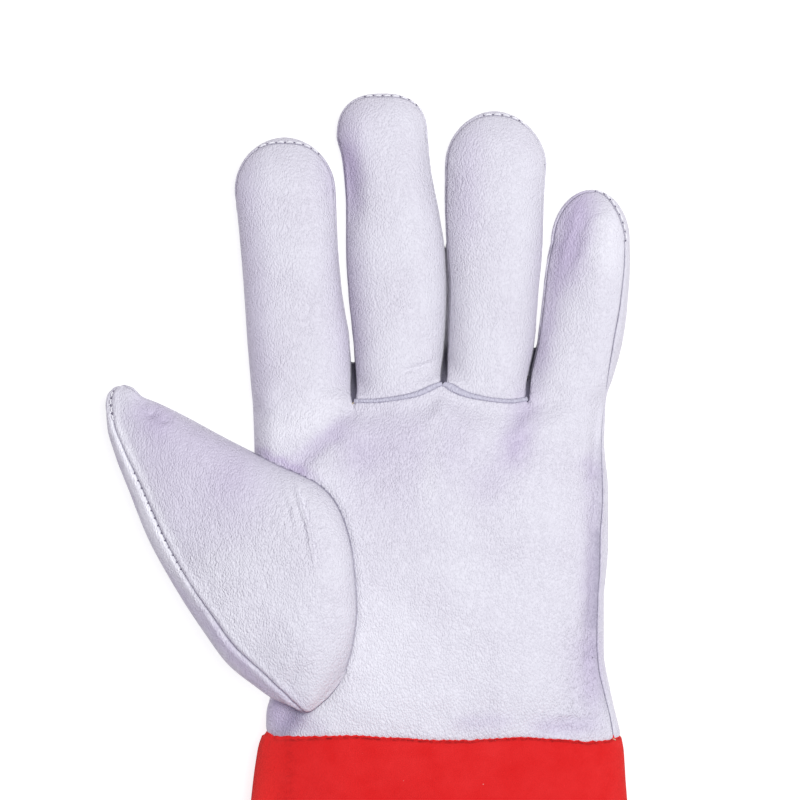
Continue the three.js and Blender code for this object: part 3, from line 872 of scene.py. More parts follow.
def maths(tree, operation, *values):
    return add(tree, "ShaderNodeMath", dict(enumerate(values)), operation=operation).outputs["Value"]


def remap(tree, value, start, end, low, high, **settings):
    """The value between start and end, made to run from low to high."""
    inputs = {"Value": value, "From Min": start, "From Max": end, "To Min": low, "To Max": high}
    return add(tree, "ShaderNodeMapRange", inputs, **settings).outputs["Result"]


def bump(tree, strength, distance, height, below=None, **settings):
    """The normal over a relief; below is the normal that it starts from."""
    inputs = {"Strength": strength, "Distance": distance, "Height": height}
    if below is not None:
        inputs["Normal"] = below
    return add(tree, "ShaderNodeBump", inputs, **settings).outputs["Normal"]


def painted_over(tree, colour, *layers):
    """Colours laid one over the other: each layer is its share and its hex colour."""
    for share, hex_colour in layers:
        inputs = {"Factor": share, "A": colour, "B": linear(hex_colour)}
        colour = add(tree, "ShaderNodeMix", inputs, data_type="RGBA").outputs["Result"]
    return colour


# The near attribute lays the painted shadow where the thumb's base touches the palm: it is this value there,
# and falls by one a millimetre or faster
NEAR = 6.0


def goatskin_nappa(name, lit, shade, lilac, pale, seam_and_shade):
    """Goatskin nappa, drum-dyed pearl white and lightly pressed: a satin skin with a fine, uneven pebble
    grain of 0.6 to 0.8 mm, smooth where it is stretched and coarsely wrinkled where it has been crushed."""
    material, tree = new_material(name)
    place = add(tree, "ShaderNodeTexCoord").outputs["Object"]
    seam, crush, tone, near = attributes_of(tree, "seam crush tone near")
    warp = noise(tree, place, 3.0, 2.0, output="Color")
    bent = add(tree, "ShaderNodeVectorMath", {0: warp, 1: (0.0012,) * 3, 2: place}, operation="MULTIPLY_ADD")
    pull = {"Vector": bent.outputs["Vector"], "Rotation": (0.0, 0.0, 0.35), "Scale": (1.25, 0.8, 1.0)}
    stretched = add(tree, "ShaderNodeMapping", pull).outputs["Vector"]
    patches = noise(tree, place, 17, 2.0)
    strength = maths(tree, "MULTIPLY_ADD", crush, 0.4, remap(tree, patches, 0.35, 0.7, 0.75, 0.95))

    normal = bump(tree, 0.1, 0.0002, noise(tree, place, 0.45, 3.0))
    normal = bump(tree, strength, 0.00034, pebbles(tree, stretched, 0.62, 0.4), normal, invert=True)
    normal = bump(tree, crush, 0.00006, noise(tree, stretched, 1.5, 3.0, 0.6), normal)
    normal = bump(tree, crush, 0.0004, pebbles(tree, stretched, 0.8, 0.5), normal, invert=True)

    # The lilac colour is laid as painted shade, with some of the leather's own cast, the pale one as painted
    # highlight; the last colour is painted shade in the seams' grooves and along the shade marks, and painted
    # shadow where the thumb's base meets the palm
    paler = maths(tree, "MULTIPLY", tone, -1.0)
    touch = remap(tree, near, NEAR - 1.0, NEAR, 0.0, 0.85, interpolation_type="SMOOTHSTEP")
    dark = maths(tree, "MAXIMUM", seam, touch)
    colour = painted_over(tree, linear(lit), (patches, shade), (tone, lilac), (paler, pale), (dark, seam_and_shade))
    look = {"Roughness": 0.5, "IOR": 1.47, "Specular IOR Level": 0.42, "Sheen Weight": 0.12}
    surface(tree, {"Base Color": colour, "Normal": normal, "Sheen Roughness": 0.5, **look})
    return material


def split_cowhide(name):
    """Split cowhide, dyed bright red and buffed: a matt short nap, mottled where it lies in different
    directions, with single pale fibres. Its fibres are about 0.1 mm, drawn at 0.35 mm so that they show."""
    material, tree = new_material(name)
    place = add(tree, "ShaderNodeTexCoord").outputs["Object"]
    seam, crush, tone = attributes_of(tree, "seam crush tone")
    mottle = remap(tree, noise(tree, place, 9, 5.0, 0.65), 0.3, 0.7, 0.0, 1.0)
    blot = remap(tree, noise(tree, place, 1.6, 3.0, 0.7), 0.42, 0.58, 0.25, 1.0)
    cells = {"Vector": place, "Scale": per_metre(9), "Randomness": 1.0}
    specks = add(tree, "ShaderNodeTexVoronoi", cells, feature="F1").outputs["Distance"]
    # The brightest red, laid by the bands, is painted highlight; the dark red along the wrist line is painted
    # shadow under the edge of the hand's leather; the darker red where it is crushed is partly mottle, partly
    # painted shade of the fold on the thumb side
    colour = painted_over(
        tree,
        linear("#dd1f20"),
        (mottle, "#e52b2c"),
        (tone, "#f6302e"),
        (maths(tree, "MULTIPLY", crush, blot), "#a91416"),
        (maths(tree, "MULTIPLY", seam, blot), "#7c0d12"),
        (remap(tree, specks, 0.012, 0.028, 0.55, 0.0), "#f0a8a0"),
    )
    normal = bump(tree, 0.9, 0.0003, noise(tree, place, 0.4, 3.0, 0.7))
    sheen = {"Sheen Weight": 0.25, "Sheen Roughness": 0.6, "Sheen Tint": linear("#ff6a5c")}
    look = {"Base Color": colour, "Roughness": 0.9, "Specular IOR Level": 0.12, "Normal": normal}
    surface(tree, {**look, **sheen})
    return material


def sewing_thread(name, hex_colour):
    """Twisted aramid sewing thread, undyed: pale, slightly lustrous, its twist as fine slanting bands."""
    material, tree = new_material(name)
    place = add(tree, "ShaderNodeTexCoord").outputs["Object"]
    bands = {"Vector": place, "Scale": per_metre(0.5) / 10, "Distortion": 2.0}
    twist = add(tree, "ShaderNodeTexWave", bands, bands_direction="DIAGONAL").outputs["Fac"]
    normal = bump(tree, 0.3, 0.0001, twist)
    surface(tree, {"Base Color": linear(hex_colour), "Roughness": 0.6, "Normal": normal})
    return material


# The gussets' last colour is nearly black: the painted shade deep in the webs and in the slot between the
# fingers
SKIN = goatskin_nappa("goatskin_nappa", "#dfdde5", "#d9d4df", "#c4b8d2", "#f6f4fa", "#6f6784")
WELT_SKIN = goatskin_nappa("goatskin_welt", "#cbc9d6", "#c4c1d0", "#b9b2ca", "#f6f4fa", "#6f6784")
GUSSET_SKIN_DEEP_SHADE = goatskin_nappa("goatskin_gusset_deep_shade", "#dfdde5", "#d9d4df", "#c4b8d2", "#f6f4fa", "#38324c")
SPLIT = split_cowhide("red_split_cowhide")
THREAD = sewing_thread("pale_aramid_thread", "#efedf2")
# A dark thread for the short pieces that are painted shade in the needle holes
HOLE_SHADE_THREAD = sewing_thread("needle_hole_painted_shade", "#6a6179")
TAN_THREAD = sewing_thread("tan_aramid_thread", "#cdbb9c")


# Relief of the leather

# Kinds of seam: width and share of the painted shade in the seam's groove (at the wrist, painted shadow under
# the leather's edge), how deep the leather turns in, how high it stands up
SEWN = (0.22, 0.8, 0.32, 0.12)
SIDE_SEWN = (0.46, 1.0, 0.4, 0.25)
THUMB_SEWN = (0.24, 0.6, 0.4, 0.4)
WELTED = (0.3, 0.2, 0.12, 0.06)
WRIST_SEWN = (0.34, 1.0, 0.0, 0.0)
# The same for the painted shade at the bottom of the webs and in the slot between two fingers that touch
WEB_SHADE = (4.5, 0.9, 0.0, 0.0)
SLOT_SHADE = (1.8, 0.9, 0.0, 0.0)
# and for the painted shade beside the side seam, where the palm dips, and under the thumb's lower end
DIM = (2.4, 0.26, 0.0, 0.0)
DIMMER = (3.0, 0.5, 0.0, 0.0)

# How far beside a seam the leather stands up, and how wide; how far from it the folds have their full height
PUFF_AWAY = 1.5
PUFF_WIDTH = 0.9
FOLDS_FADE = (0.2, 2.5)


def seam_relief(points, seams):
    """The leather turns in at a seam and stands up a little beside it: a bell over the distance each."""
    high = np.zeros(len(points))
    for (_, _, depth, puff), group in seams.items():
        distance = reach_any(points, group)
        high = high + puff * np.exp(-(((distance - PUFF_AWAY) / PUFF_WIDTH) ** 2))
        high = high - depth * np.exp(-((distance / GROOVE_WIDTH) ** 2))
    return high


def painted(points, seams):
    """How much painted shade shows along the seams and marks: each kind's share, fading away over its width.
    """
    total = np.zeros(len(points))
    for (width, share, _, _), group in seams.items():
        total = np.maximum(total, share * np.exp(-((reach_any(points, group) / width) ** 2)))
    return total


def crush_of(x, y, patches):
    """How crushed the leather is: a bell round each named place, at most 1."""
    total = sum(
        share * np.exp(-(((x - px) / rx) ** 2) - ((y - py) / ry) ** 2)
        for px, py, rx, ry, share in zip(*(patches[k] for k in "x y rx ry share".split()))
    )
    return np.clip(total, 0, 1)


HAND_CRUSH = table(
    "x y rx ry share",
    (-14, 86, 26, 14, 0.16),
    (47, 160, 9, 9, 0.1),
    (41, 142, 8, 14, 0.08),
    (47, 25, 8, 16, 0.5),
    (44, 8, 12, 8, 0.45),
    (-45, 6, 8, 8, 0.1),
    (49, 76, 6, 12, 0.3),
)
THUMB_CRUSH = table(
    "x y rx ry share",
    (-62, 46, 15, 18, 0.3),
    (-74, 62, 12, 14, 0.25),
    (-48, 26, 12, 12, 0.28),
    (-83, 99, 9, 7, 0.12),
    (-44, 66, 8, 12, 0.22),
    (-60, 70, 18, 14, 0.12),
)
# The cuff is darker red where it is crushed: partly mottle, partly painted shade of its fold on the thumb
# side
CUFF_CRUSH = table(
    "x y rx ry share",
    (-43.5, -8, 1.6, 16, 0.3),
    (-45.5, -22, 2.0, 10, 0.25),
    (10, -80, 4, 40, 0.1),
)

# Rows of the thumb: where its base begins on the palm, where it first touches the index side, and where its
# outer corner ends
BASE_ROW = 8.6
CONTACT_ROW = 6.1
CORNER_ROW = 11.2


def thumb_base_line(first_row):
    """The thumb's base on the palm, seen from above: the arc of its inner edge and its outer corner."""
    near = thumb_skin(np.linspace(first_row, THUMB_LAST, 60), np.zeros(60))
    far = thumb_skin(np.linspace(THUMB_LAST, CORNER_ROW, 50), np.full(50, math.pi))
    return np.concatenate([near, far])


THUMB_BASE = thumb_base_line(BASE_ROW)
THUMB_CONTACT = thumb_base_line(CONTACT_ROW)
THUMB_HOLE = np.concatenate([THUMB_BASE[:, :2], [(-52, 22), (-56, 40), (-50, 66)]])


def on_palm_side(normals):
    return np.clip(normals[:, 2] * 1.4, 0, 1)


def hand_relief(points, normals):
    """The palm side's folds and a gentle unevenness; none of it underneath."""
    x, y = points[:, 0], points[:, 1]
    low = 0.16 * ripple(x, y, 24, 11) + 0.07 * ripple(x, y, 9, 12)
    return (folds(x, y, FOLDS) + low) * on_palm_side(normals)


def palm_relief(points, normals):
    """The palm's folds, a groove along the thumb's base, and under it a sinking that is full 4 mm inside."""
    x, y, z = points.T
    away = reach_above(points, THUMB_BASE)
    under = inside(x, y, THUMB_HOLE) & (z > 8)
    sunk = np.where(under, 0.5 + 2.0 * ease(away, 0, 4), 0.5 * np.exp(-((away / 1.1) ** 2)))
    return hand_relief(points, normals) - sunk * ease(z, 8, 14)


def thumb_relief(points, normals):
    """The thumb's folds, and an unevenness that is stronger where the leather is crushed."""
    x, y = points[:, 0], points[:, 1]
    crush = crush_of(x, y, THUMB_CRUSH)
    low = 0.18 * ripple(x, y, 20, 21) + (0.03 + 0.05 * crush) * ripple(x, y, 4.2, 22)
    return (folds(x, y, THUMB_FOLDS) + low) * on_palm_side(normals)


def cuff_relief(points, normals):
    """The cuff's long waves, and its edge that is tucked under the hand's leather."""
    x, y = points[:, 0], points[:, 1]
    low = 0.5 * ripple(x, y * 0.45, 34, 31) + 0.16 * ripple(x, y, 11, 32)
    tucked = ease(y, wrist_y(x, points[:, 2]) - 0.5, wrist_y(x, points[:, 2]) + 0.3)
    return low * on_palm_side(normals) * ease(-y, 0, 25) - TUCK_DEPTH * tucked


def gusset_relief(points, normals):
    return 0.05 * ripple(points[:, 1], points[:, 2], 7, 5)


# The stretches of the thumb's base line, in y, where its painted shadow is crisp on the palm, and that
# shadow's blur elsewhere
CRISP_FROM = (52, 66)
CRISP_UP_TO = (10, 24)
BLUR = 0.4
CRISPNESS = 1.1


def painted_contact_shadow(points, signed):
    """How near a point is to the line where the thumb's leather meets the palm, for the painted shadow along
    it:
    NEAR less the distance, which counts more than once where the line is crisp. signed: the distance is below
    nought under the thumb. It fades out below a height of 13 mm."""
    x, y, z = points.T
    away = reach_above(points, THUMB_CONTACT)
    if signed:
        away = np.where(inside(x, y, THUMB_HOLE), -0.2 * away, away)
    crisp = np.clip(ease(y, *CRISP_FROM) + 1 - ease(y, *CRISP_UP_TO), 0, 1)
    value = NEAR - BLUR * (1 - crisp) - (1.0 + CRISPNESS * crisp) * away
    return np.clip(value, 0, NEAR) * np.clip(z - 12, 0, 1)


# The hand's leather


def wrist_y(points_x, height):
    """Where the leather ends at the wrist: the seam's line on the palm side, with a small bulge between each
    two stitches, and straight underneath."""
    front = ease(height, 4, 12)
    line = follow(WRIST_SEAM, "y", points_x, "x") * front + 0.6 * (1 - front)
    deep = WRIST_SCALLOP * (1 + 0.5 * ripple(points_x, 0, 11, 71))
    return line - deep * np.abs(np.cos(math.pi * (points_x + ripple(points_x, 0, 9, 72)) / WRIST_STITCH))


def base_lines(name, across, front):
    """For each column, the y at which a finger's own leather or shape begins."""
    webs = [web_beside(name, side) for side in (-1, 1)]
    ends = [(web or OUTER_BASE)["front" if front else "back"] for web in webs]
    if not (front and name in SET_IN):
        return ends[0] + (ends[1] - ends[0]) * ease(across, 0, 1)
    mean = np.full((1, len(across)), (ends[0] + ends[1]) / 2)
    x = finger_panel(name, mean, across, True)[0, :, 0]
    line = follow(BASE_SEAM, "y", x, "x")
    line[0], line[-1] = ends
    return line


def columns(name, step):
    """The columns of a finger's strip, closer together at both its edges."""
    rows = FINGERS[name]["rows"]
    return spread(float(np.mean(rows["right"] - rows["left"])) * 1.25, step)


def strip_below(name, front, step):
    """The strip from the wrist to the finger's base."""
    across = columns(name, step)
    base = base_lines(name, across, front)
    y = spread(HAND_LENGTH, step, (True, front))[:, None] * base[None, :]
    points = hand_strip(name, y, base[None, :], across, front)
    start = wrist_y(points[:1, :, 0], points[:1, :, 2])
    points[..., 1] += start * (1 - ease(y, 0, 9))
    return points


def strip_above(name, front, step, start):
    """The strip from the finger's base, at start for each column, to the tip seam. In the tip each column is
    a straight line across the last section, from its edge to its place on the seam."""
    finger = FINGERS[name]
    across = columns(name, step)
    first, last = float(start.min()), finger["rows"]["y"][-1]
    y = first + (last - first) * spread(last - first, step, (True, False))
    later = 1 - ease(y, first, first + 0.6 * (last - first))
    body = finger_panel(name, y[:, None] + (start - first)[None, :] * later[:, None], across, front)

    ends = [side_turn(name, side, np.array([last]), 1.0) for side in (-1, 1)]
    ends[1] = ends[1] + (0 if front else 2 * math.pi)
    shares, _ = even_shares(lambda t: finger_skin(finger, last, t), *ends, across)
    edge_of = round_box(ends[0] + (ends[1] - ends[0]) * shares[0], FINGER_SQUARENESS)
    seam = tip_seam(name, across)
    way = spread(FRONT_TIP if front else BACK_TIP, step, (False, True))
    part = 1 - np.cos(way * math.pi / 2)[1:, None]
    tip = tip_skin(finger, *(edge_of[k] + (seam[k] - edge_of[k]) * part for k in (0, 1)))
    return np.concatenate([body, tip])


def edge(grid, where):
    return {"left": grid[:, 0], "right": grid[:, -1], "low": grid[0], "high": grid[-1]}[where]


def edges(grid, wanted):
    return [edge(grid, where) for where in wanted.split()]


def leather(node, grids, seams, relief, patches, light_and_tint_bands=HAND_TINT_AND_PAINTED_LIGHT, marks=None, keep=None, **look):
    """Welds the grids, presses in the seams, raises the folds, lays painted shade and highlight and makes the
    piece that stands for the node.
    marks are lines along which only painted shade is laid; keep says which points stay; look may name another
    material or wall, and a slot, which is not used."""
    points, faces = weld(grids)
    normals = normals_of(points, faces)
    distance = reach_any(points, [line for group in seams.values() for line in group])
    high = relief(points, normals) * ease(distance, *FOLDS_FADE) + seam_relief(points, seams)
    crush = crush_of(points[:, 0], points[:, 1], patches) * on_palm_side(normals)
    # Painted shade and highlight from the bands, fading on the sides that face down
    tone = np.clip(folds(points[:, 0], points[:, 1], light_and_tint_bands), -1, 1) * np.clip(normals[:, 2] + 0.6, 0, 1)
    layers = {"seam": painted(points, {**seams, **(marks or {})}), "crush": crush, "tone": tone}
    # Painted shadow along the line where the thumb's base meets the palm
    if node in ("palm_front", "thumb_front", "thumb_back"):
        layers["near"] = painted_contact_shadow(points, node == "palm_front")
    moved = points + normals * high[:, None]
    moved[:, 2] = np.maximum(moved[:, 2], 0)
    if keep is not None:
        faces = faces[keep(points)[faces].any(axis=1)]
        used = np.unique(faces)
        place = np.zeros(len(points), int)
        place[used] = np.arange(len(used))
        faces, moved = place[faces], moved[used]
        layers = {key: values[used] for key, values in layers.items()}
    look = {"material": SKIN, "slot": "goatskin", "wall": GOATSKIN, **look}
    make_piece(node + "_leather", node, moved, faces, layers, **look)


def palm_stays(points):
    """The palm's leather is open where the thumb is set in."""
    x, y, z = points.T
    return ~(inside(x, y, THUMB_HOLE) & (reach_above(points, THUMB_BASE) > 3.5) & (z > 14))


below = {name: strip_below(name, True, FRONT_STEP) for name in ORDER}
above = {}
for name in ORDER:
    starts = base_lines(name, columns(name, FRONT_STEP), True)
    above[name] = strip_above(name, True, FRONT_STEP, starts + PAST_WELT * (name in SET_IN))

palm_seams = [
    *edges(below["index"], "left"),
    *edges(above["index"], "left right high"),
    *edges(above["little"], "left high"),
    *[edge(below[name], "low") for name in ORDER],
]
side_seam = [edge(grids["little"], "right") for grids in (below, above)]
seam_y = side_seam[0][:, 1]
# Lines along which painted shade is laid: beside the side seam, where the palm dips, and under the thumb's
# lower end
dipped, deepest = (side_seam[0][(seam_y > low) & (seam_y < high)] for low, high in ((10, 88), (34, 62)))
under_thumb = on_palm(np.linspace(-40.5, -45.5, 12), np.linspace(8.5, 1, 12))
welted_edges = [edge(below[name], "high") for name in SET_IN]
leather(
    "palm_front",
    [(grid, 1) for grid in (*below.values(), above["index"], above["little"])],
    {SEWN: palm_seams, SIDE_SEWN: side_seam, WELTED: welted_edges},
    palm_relief,
    HAND_CRUSH,
    keep=palm_stays,
    marks={DIM: [dipped], DIMMER: [deepest, under_thumb]},
)
for name in SET_IN:
    grid = above[name]
    seams = {SEWN: edges(grid, "left right high"), WELTED: edges(grid, "low")}
    leather(name + "_front", [(grid, 1)], seams, hand_relief, HAND_CRUSH)


# The gussets between the fingers


def gusset(pair, step):
    """A strip down the side of one finger, round the web and up the side of the next. Columns run from the
    back seam to the front seam; rows lie closer together at the web."""
    part = np.linspace(0, 1, GUSSET_COLUMNS)
    start = web_start(WEBS[pair], part)
    sides = []
    for name, side in ((pair[0], 1), (pair[1], -1)):
        stop = FINGERS[name]["rows"]["y"][-1]
        share = np.linspace(0, 1, round((stop - 100) / step)) ** GUSSET_CROWDING
        y = start[None, :] + (stop - start[None, :]) * share[:, None]
        sides.append(pinched(name, side, y, part[None, :]))
    return np.concatenate([sides[0][::-1], sides[1][1:]])


gussets = {pair: gusset(pair, GUSSET_STEP) for pair in WEBS}
# The slot between the middle and ring fingers, where no light comes in: the line where they touch
touching = edge(gussets[SET_IN], "left")
touching = touching[touching[:, 1] < FINGERS["middle"]["swell"]["to"]]
# Painted shade at the bottom of each web, and along the slot where the middle and ring fingers touch
for pair, grid in gussets.items():
    shades = {WEB_SHADE: [grid[grid[:, 0, 1].argmin()]]}
    if pair == SET_IN:
        shades[SLOT_SHADE] = [touching]
    node, seams = "fourchette_" + "_".join(pair), {SEWN: edges(grid, "left right")}
    look = {"material": GUSSET_SKIN_DEEP_SHADE, "wall": GUSSET_WALL}
    leather(node, [(grid, 1)], seams, gusset_relief, HAND_CRUSH, marks=shades, **look)


# The back

back_below = {name: strip_below(name, False, BACK_STEP) for name in ORDER}
back_above = {
    name: strip_above(name, False, BACK_STEP, base_lines(name, columns(name, BACK_STEP), False))
    for name in ORDER
}
back_seams = [seam for name in ORDER for seam in edges(back_above[name], "left right high")]
back_seams += [edge(back_below["index"], "left"), edge(back_below["little"], "right")]
back_seams += [edge(back_below[name], "low") for name in ORDER]
leather(
    "hand_back",
    [(grid, -1) for grid in (*back_below.values(), *back_above.values())],
    {SEWN: back_seams},
    hand_relief,
    HAND_CRUSH,
    # painted shade along that slot
    marks={SLOT_SHADE: [touching]},
)


# The welts in the base seams


def welt(name):
    """A narrow arched band along the base seam: across it the height follows a flattened half circle."""
    low, high = edge(below[name], "high"), edge(above[name], "low")
    arch = np.linspace(-1, 1, WELT_COLUMNS)
    middle = (low + high) / 2
    uneven = 1 + 0.12 * ripple(middle[:, 0], middle[:, 1], 5, 51)
    lift = (WELT_HIGH * (1 - np.abs(arch) ** 3) - 0.3 * np.abs(arch) ** 6)[:, None] * uneven
    points = middle[None] + (arch * 0.5)[:, None, None] * (high - low)[None] * (WELT_WIDTH / PAST_WELT)
    up = np.cross(np.gradient(middle, axis=0), high - low)
    up /= np.linalg.norm(up, axis=1, keepdims=True)
    return points + lift[..., None] * up[None]


for name in SET_IN:
    grid = welt(name)
    points, faces = weld([(grid, 1)])
    shares = {"crush": WELT_CRUSH, "tone": WELT_TONE}
    # Painted shade along the welt's two edges
    layers = {"seam": painted(points, {WELTED: [grid[1], grid[-2]]})}
    layers.update({key: value * np.ones(len(points)) for key, value in shares.items()})
    node = "welt_" + name
    make_piece(node + "_leather", node, points, faces, layers, WELT_SKIN, "goatskin_welt", WELT_WALL)


# The thumb


def thumb_seam_turn(row, far):
    """The turn of the seam on the thumb's outer or inner side."""
    if not far:
        return np.radians(follow(THUMB, "dip", row, "row"))
    near_x, near_y, far_x, far_y, seam = (
        follow(THUMB, name, row, "row") for name in ("near_x", "near_y", "far_x", "far_y", "seam")
    )
    half = np.hypot(near_x - far_x, near_y - far_y) / 2
    across = 1 - seam / half
    return math.pi - np.arctan2(other_side(across, THUMB_SQUARENESS), across)


def thumb_panel(front, step):
    """The thumb's skin between its two seam lines, over the top or underneath; rows lie closer together at
    both its ends."""
    rows = np.linspace(0, 1, round(THUMB_LENGTH / step))
    rows = THUMB_LAST * (rows - THUMB_CROWDING * np.sin(2 * math.pi * rows) / (2 * math.pi))
    near, far = thumb_seam_turn(rows, False), thumb_seam_turn(rows, True)
    start, end = (near, far) if front else (far, near + 2 * math.pi)
    shares, _ = even_shares(lambda t: thumb_skin(rows[:, None], t), start, end, spread(THUMB_GIRTH, step))
    return thumb_skin(rows[:, None], start[:, None] + (end - start)[:, None] * shares)


def thumb_stays(points):
    """The thumb's leather ends inside the hand: 0.8 is a little way inside the palm's rounded box."""
    left, right, top = palm_size(np.clip(points[:, 1], 0, 100))
    across = share_across(points[:, 0], left, right)
    up = (points[:, 2] - 11) / (top - 11)
    return np.abs(across) ** HAND_SQUARENESS + np.abs(up) ** HAND_SQUARENESS > 0.8


thumb_grids = {"front": thumb_panel(True, THUMB_STEP), "back": thumb_panel(False, BACK_STEP)}
for name, inner, outer in (("front", "left", "right"), ("back", "right", "left")):
    grid = thumb_grids[name]
    seams = {SEWN: edges(grid, inner), THUMB_SEWN: edges(grid, outer)}
    panel = ("thumb_" + name, [(grid, 1)], seams, thumb_relief, THUMB_CRUSH)
    leather(*panel, light_and_tint_bands=THUMB_PAINTED_LIGHT, keep=thumb_stays)


# The cuff


def cuff_skin(step):
    """The cuff's outer face: rounded boxes from the wrist seam to the mouth, closed round. Columns lie
    closer together at its two sides."""
    turns = np.linspace(0, 2 * math.pi, round(CUFF_GIRTH / step) + 1)
    turns = turns - CUFF_CROWDING * np.sin(2 * turns)
    turns[-1] = turns[0] + 2 * math.pi
    y = -CUFF_LENGTH * (1 - spread(CUFF_LENGTH, step))
    size = [follow(CUFF, name, y[:, None]) for name in SIZES]
    points = body_section(y[:, None], turns[None, :], *size, HAND_SQUARENESS)
    end = wrist_y(points[-1:, :, 0], points[-1:, :, 2]) + TUCK
    points[..., 1] += end * ease(y[:, None], -9, 0)
    points[:, -1] = points[:, 0]
    return points


cuff_grid = cuff_skin(CUFF_STEP)
# The dark red line just under the hand leather's edge is painted shadow
wrist_line = cuff_grid[-1].copy()
wrist_line[:, 1] = wrist_y(wrist_line[:, 0], wrist_line[:, 2]) - 0.2
wrist_line[:, 2] *= 1.015
marks = {WRIST_SEWN: [wrist_line]}
look = {"material": SPLIT, "slot": "split_leather", "wall": SPLIT_LEATHER}
leather("cuff", [(cuff_grid, -1)], {}, cuff_relief, CUFF_CRUSH, CUFF_PAINTED_HIGHLIGHT, marks, **look)


# Stitches

STITCH_RINGS = np.linspace(-1, 1, 7)
STITCH_SIDES = np.linspace(0, 2 * math.pi, 7)
# Kinds of stitch: pitch, length and thickness, how high it stands and how far beside the seam it lies
TIP_STITCH = (2.75, 2.25, 0.56, 0.14, 0.34)
# Short dark pieces at the stitches' ends, which are painted shade of the needle holes
TIP_HOLE_SHADE = (2.75, 0.6, 0.36, 0.12, 0.24)
THUMB_STITCH = (2.5, 2.0, 0.45, 0.14, 0.3)
THUMB_HOLE_SHADE = (2.5, 0.6, 0.34, 0.08, 0.1)


def way_along(line):
    return np.concatenate([[0], np.cumsum(np.linalg.norm(np.diff(line, axis=0), axis=1))])


def along_line(line, pitch, phase):
    """Points and directions every pitch along a line, the first one phase of a pitch from its start."""
    way = way_along(line)
    at = np.arange(pitch * phase, way[-1], pitch)

    def point_at(places):
        return np.stack([np.interp(places, way, line[:, k]) for k in range(3)], axis=-1)

    direction = point_at(at + 0.2) - point_at(at - 0.2)
    return point_at(at), direction / np.linalg.norm(direction, axis=1, keepdims=True)


def stitches(name, material, lines, kind, centre, phase=0.5):
    """Stitches along seams: each is a short tube bent down at both ends, its section a hexagon that closes to
    a point at each end. Outwards is away from centre."""
    pitch, length, thick, lift, beside_seam = kind
    grids = []
    for line in lines:
        middles, ways = along_line(line, pitch, phase)
        out = middles - centre(middles)
        out -= (out * ways).sum(1, keepdims=True) * ways
        out /= np.linalg.norm(out, axis=1, keepdims=True)
        beside = np.cross(ways, out)
        t = STITCH_RINGS[None, :, None]
        spine = (middles - beside_seam * beside)[:, None] + t * length / 2 * ways[:, None]
        spine = spine + (lift - thick * t**4) * out[:, None]
        wide = (thick / 2 * np.sqrt(np.maximum(1 - STITCH_RINGS**6, 0)))[None, :, None, None]
        turn = STITCH_SIDES[None, None, :, None]
        ring = np.cos(turn) * beside[:, None, None] + np.sin(turn) * out[:, None, None]
        grids += [(grid, -1) for grid in spine[:, :, None] + wide * ring]
    make_piece(name, None, *weld(grids), {}, material, "stitching", 0)


def tip_line(name, left, right):
    """The part of the seam over a fingertip between two places across it."""
    line = edge(above[name], "high")
    return line[(line[:, 0] > left) & (line[:, 0] < right)]


def under_tip(middles):
    """The middle of the finger, at a height of 6 mm and 8 mm behind each stitch."""
    return middles * (1, 1, 0) + (0, -8, 6)


def thumb_middle(middles):
    """The middle of the thumb, beside each stitch of its outer seam."""
    return middles + (6.0, 2.0, -6.0)


# Where the stitches show: between which x over each fingertip, and along which stretches of the thumb's seam
TIP_STITCHES = {"index": (-53.6, -34.4), "middle": (-21, -3.6), "ring": (15, 28), "little": (49.5, 58.8)}
THUMB_STITCHES = ((3, 12), (30, 64))

tip_lines = [tip_line(name, *ends) for name, ends in TIP_STITCHES.items()]
thumb_seam = edge(thumb_grids["front"], "right")
thumb_way = way_along(thumb_seam)
thumb_lines = [thumb_seam[(thumb_way > start) & (thumb_way < end)] for start, end in THUMB_STITCHES]
stitches("tip_stitches", THREAD, tip_lines, TIP_STITCH, under_tip)
# Painted shade of the needle holes, between the stitches
stitches("tip_needle_hole_shades", HOLE_SHADE_THREAD, tip_lines, TIP_HOLE_SHADE, under_tip, 0.0)
stitches("thumb_tip_stitches", THREAD, thumb_lines[:1], THUMB_STITCH, thumb_middle)
stitches("thumb_needle_hole_shades", HOLE_SHADE_THREAD, thumb_lines, THUMB_HOLE_SHADE, thumb_middle, 0.0)

# A knot at the corner of the index web, and the seam's loose end at the wrist: each a single long stitch
knot = below["middle"][-1, 0] + np.array([(-0.6, -0.5, 0.35), (0.3, 0.5, 0.35)])
loose = below["little"][0, -1] + np.array([(-0.7, 0.2, 0.5), (0.1, -0.1, 0.7), (0.5, -0.8, 0.6)])
for name, line, long in (("corner_knot", knot, 0.9), ("loose_end", loose, 1.2)):
    stitches(name, TAN_THREAD, [line], (1.1 * long, long, 0.36, 0.1, 0.0), under_tip)


# Floor, light and camera

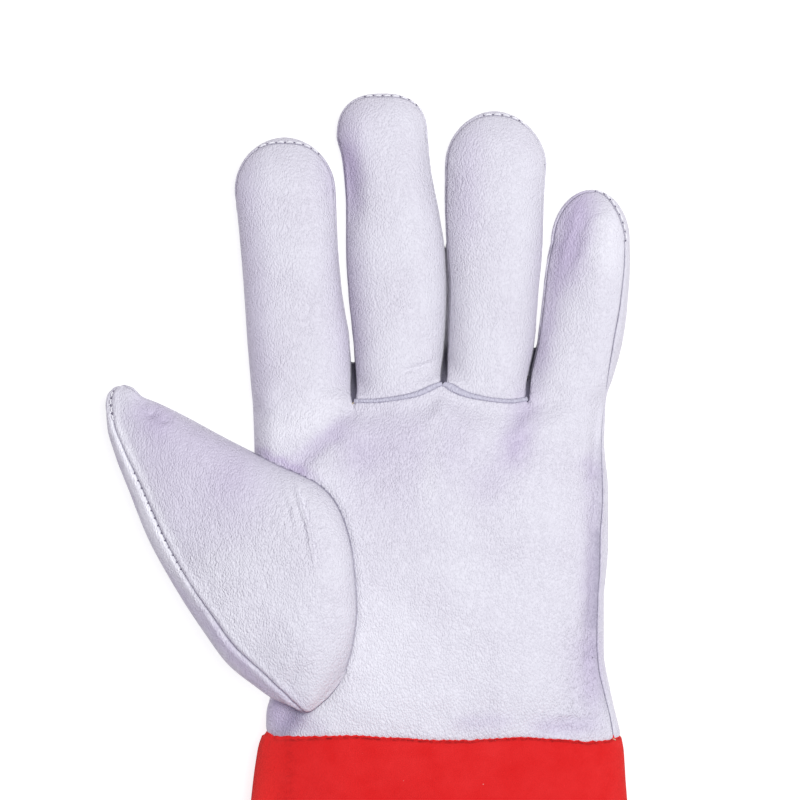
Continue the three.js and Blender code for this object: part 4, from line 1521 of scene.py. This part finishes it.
HALF_FLOOR = 3.0
FLOOR_HEIGHT = -0.0003
corners = [(x * HALF_FLOOR, y * HALF_FLOOR, FLOOR_HEIGHT) for x, y in ((-1, -1), (1, -1), (1, 1), (-1, 1))]
floor_mesh = bpy.data.meshes.new("floor")
floor_mesh.from_pydata(corners, [], [(0, 1, 2, 3)])
floor = new_object("floor", floor_mesh)
# White paper on a light table: the light from below keeps the glove's shadow faint
paper, paper_tree = new_material("white_paper")
glow = {"Emission Color": linear("#ffffff"), "Emission Strength": 0.84}
surface(paper_tree, {"Base Color": linear("#8e8d8f"), "Roughness": 0.95, **glow})
floor_mesh.materials.append(paper)

# A square softbox, high over the glove and a little to its right, that isn't seen itself
SOFTBOX_PLACE = (0.42, 0.2, 1.8)
SOFTBOX_TARGET = (0.0, 0.07, 0.0)
light = bpy.data.lights.new("key", "AREA")
light.shape = "RECTANGLE"
light.size = light.size_y = 0.8
light.energy = 36
light.color = linear("#fbfffb")[:3]
lamp = new_object("key", light)
lamp.location = SOFTBOX_PLACE
lamp.rotation_mode = "QUATERNION"
lamp.rotation_quaternion = Vector(np.subtract(SOFTBOX_TARGET, SOFTBOX_PLACE)).to_track_quat("-Z", "Y")
lamp.visible_camera = False

scene = bpy.context.scene
scene.world = bpy.data.worlds.new("studio")
scene.world.use_nodes = True
for item in scene.world.node_tree.nodes:
    if item.type == "BACKGROUND":
        item.inputs["Color"].default_value = linear("#dccaff")
        item.inputs["Strength"].default_value = 0.2
scene.view_settings.view_transform = "Standard"
scene.view_settings.look = "None"

# The camera looks straight down from far off; the picture takes in 244 mm at the glove's middle height
SENSOR = 36.0
PICTURE = 0.244
PICTURE_MIDDLE = (0.004035, 0.08102)
CAMERA_HIGH = 1.5
MIDDLE_HEIGHT = 0.013
camera_data = bpy.data.cameras.new("camera")
camera_data.sensor_width = SENSOR
camera_data.lens = SENSOR * (CAMERA_HIGH - MIDDLE_HEIGHT) / PICTURE
camera_data.clip_end = 20
scene.camera = new_object("camera", camera_data)
scene.camera.location = (*PICTURE_MIDDLE, CAMERA_HIGH)
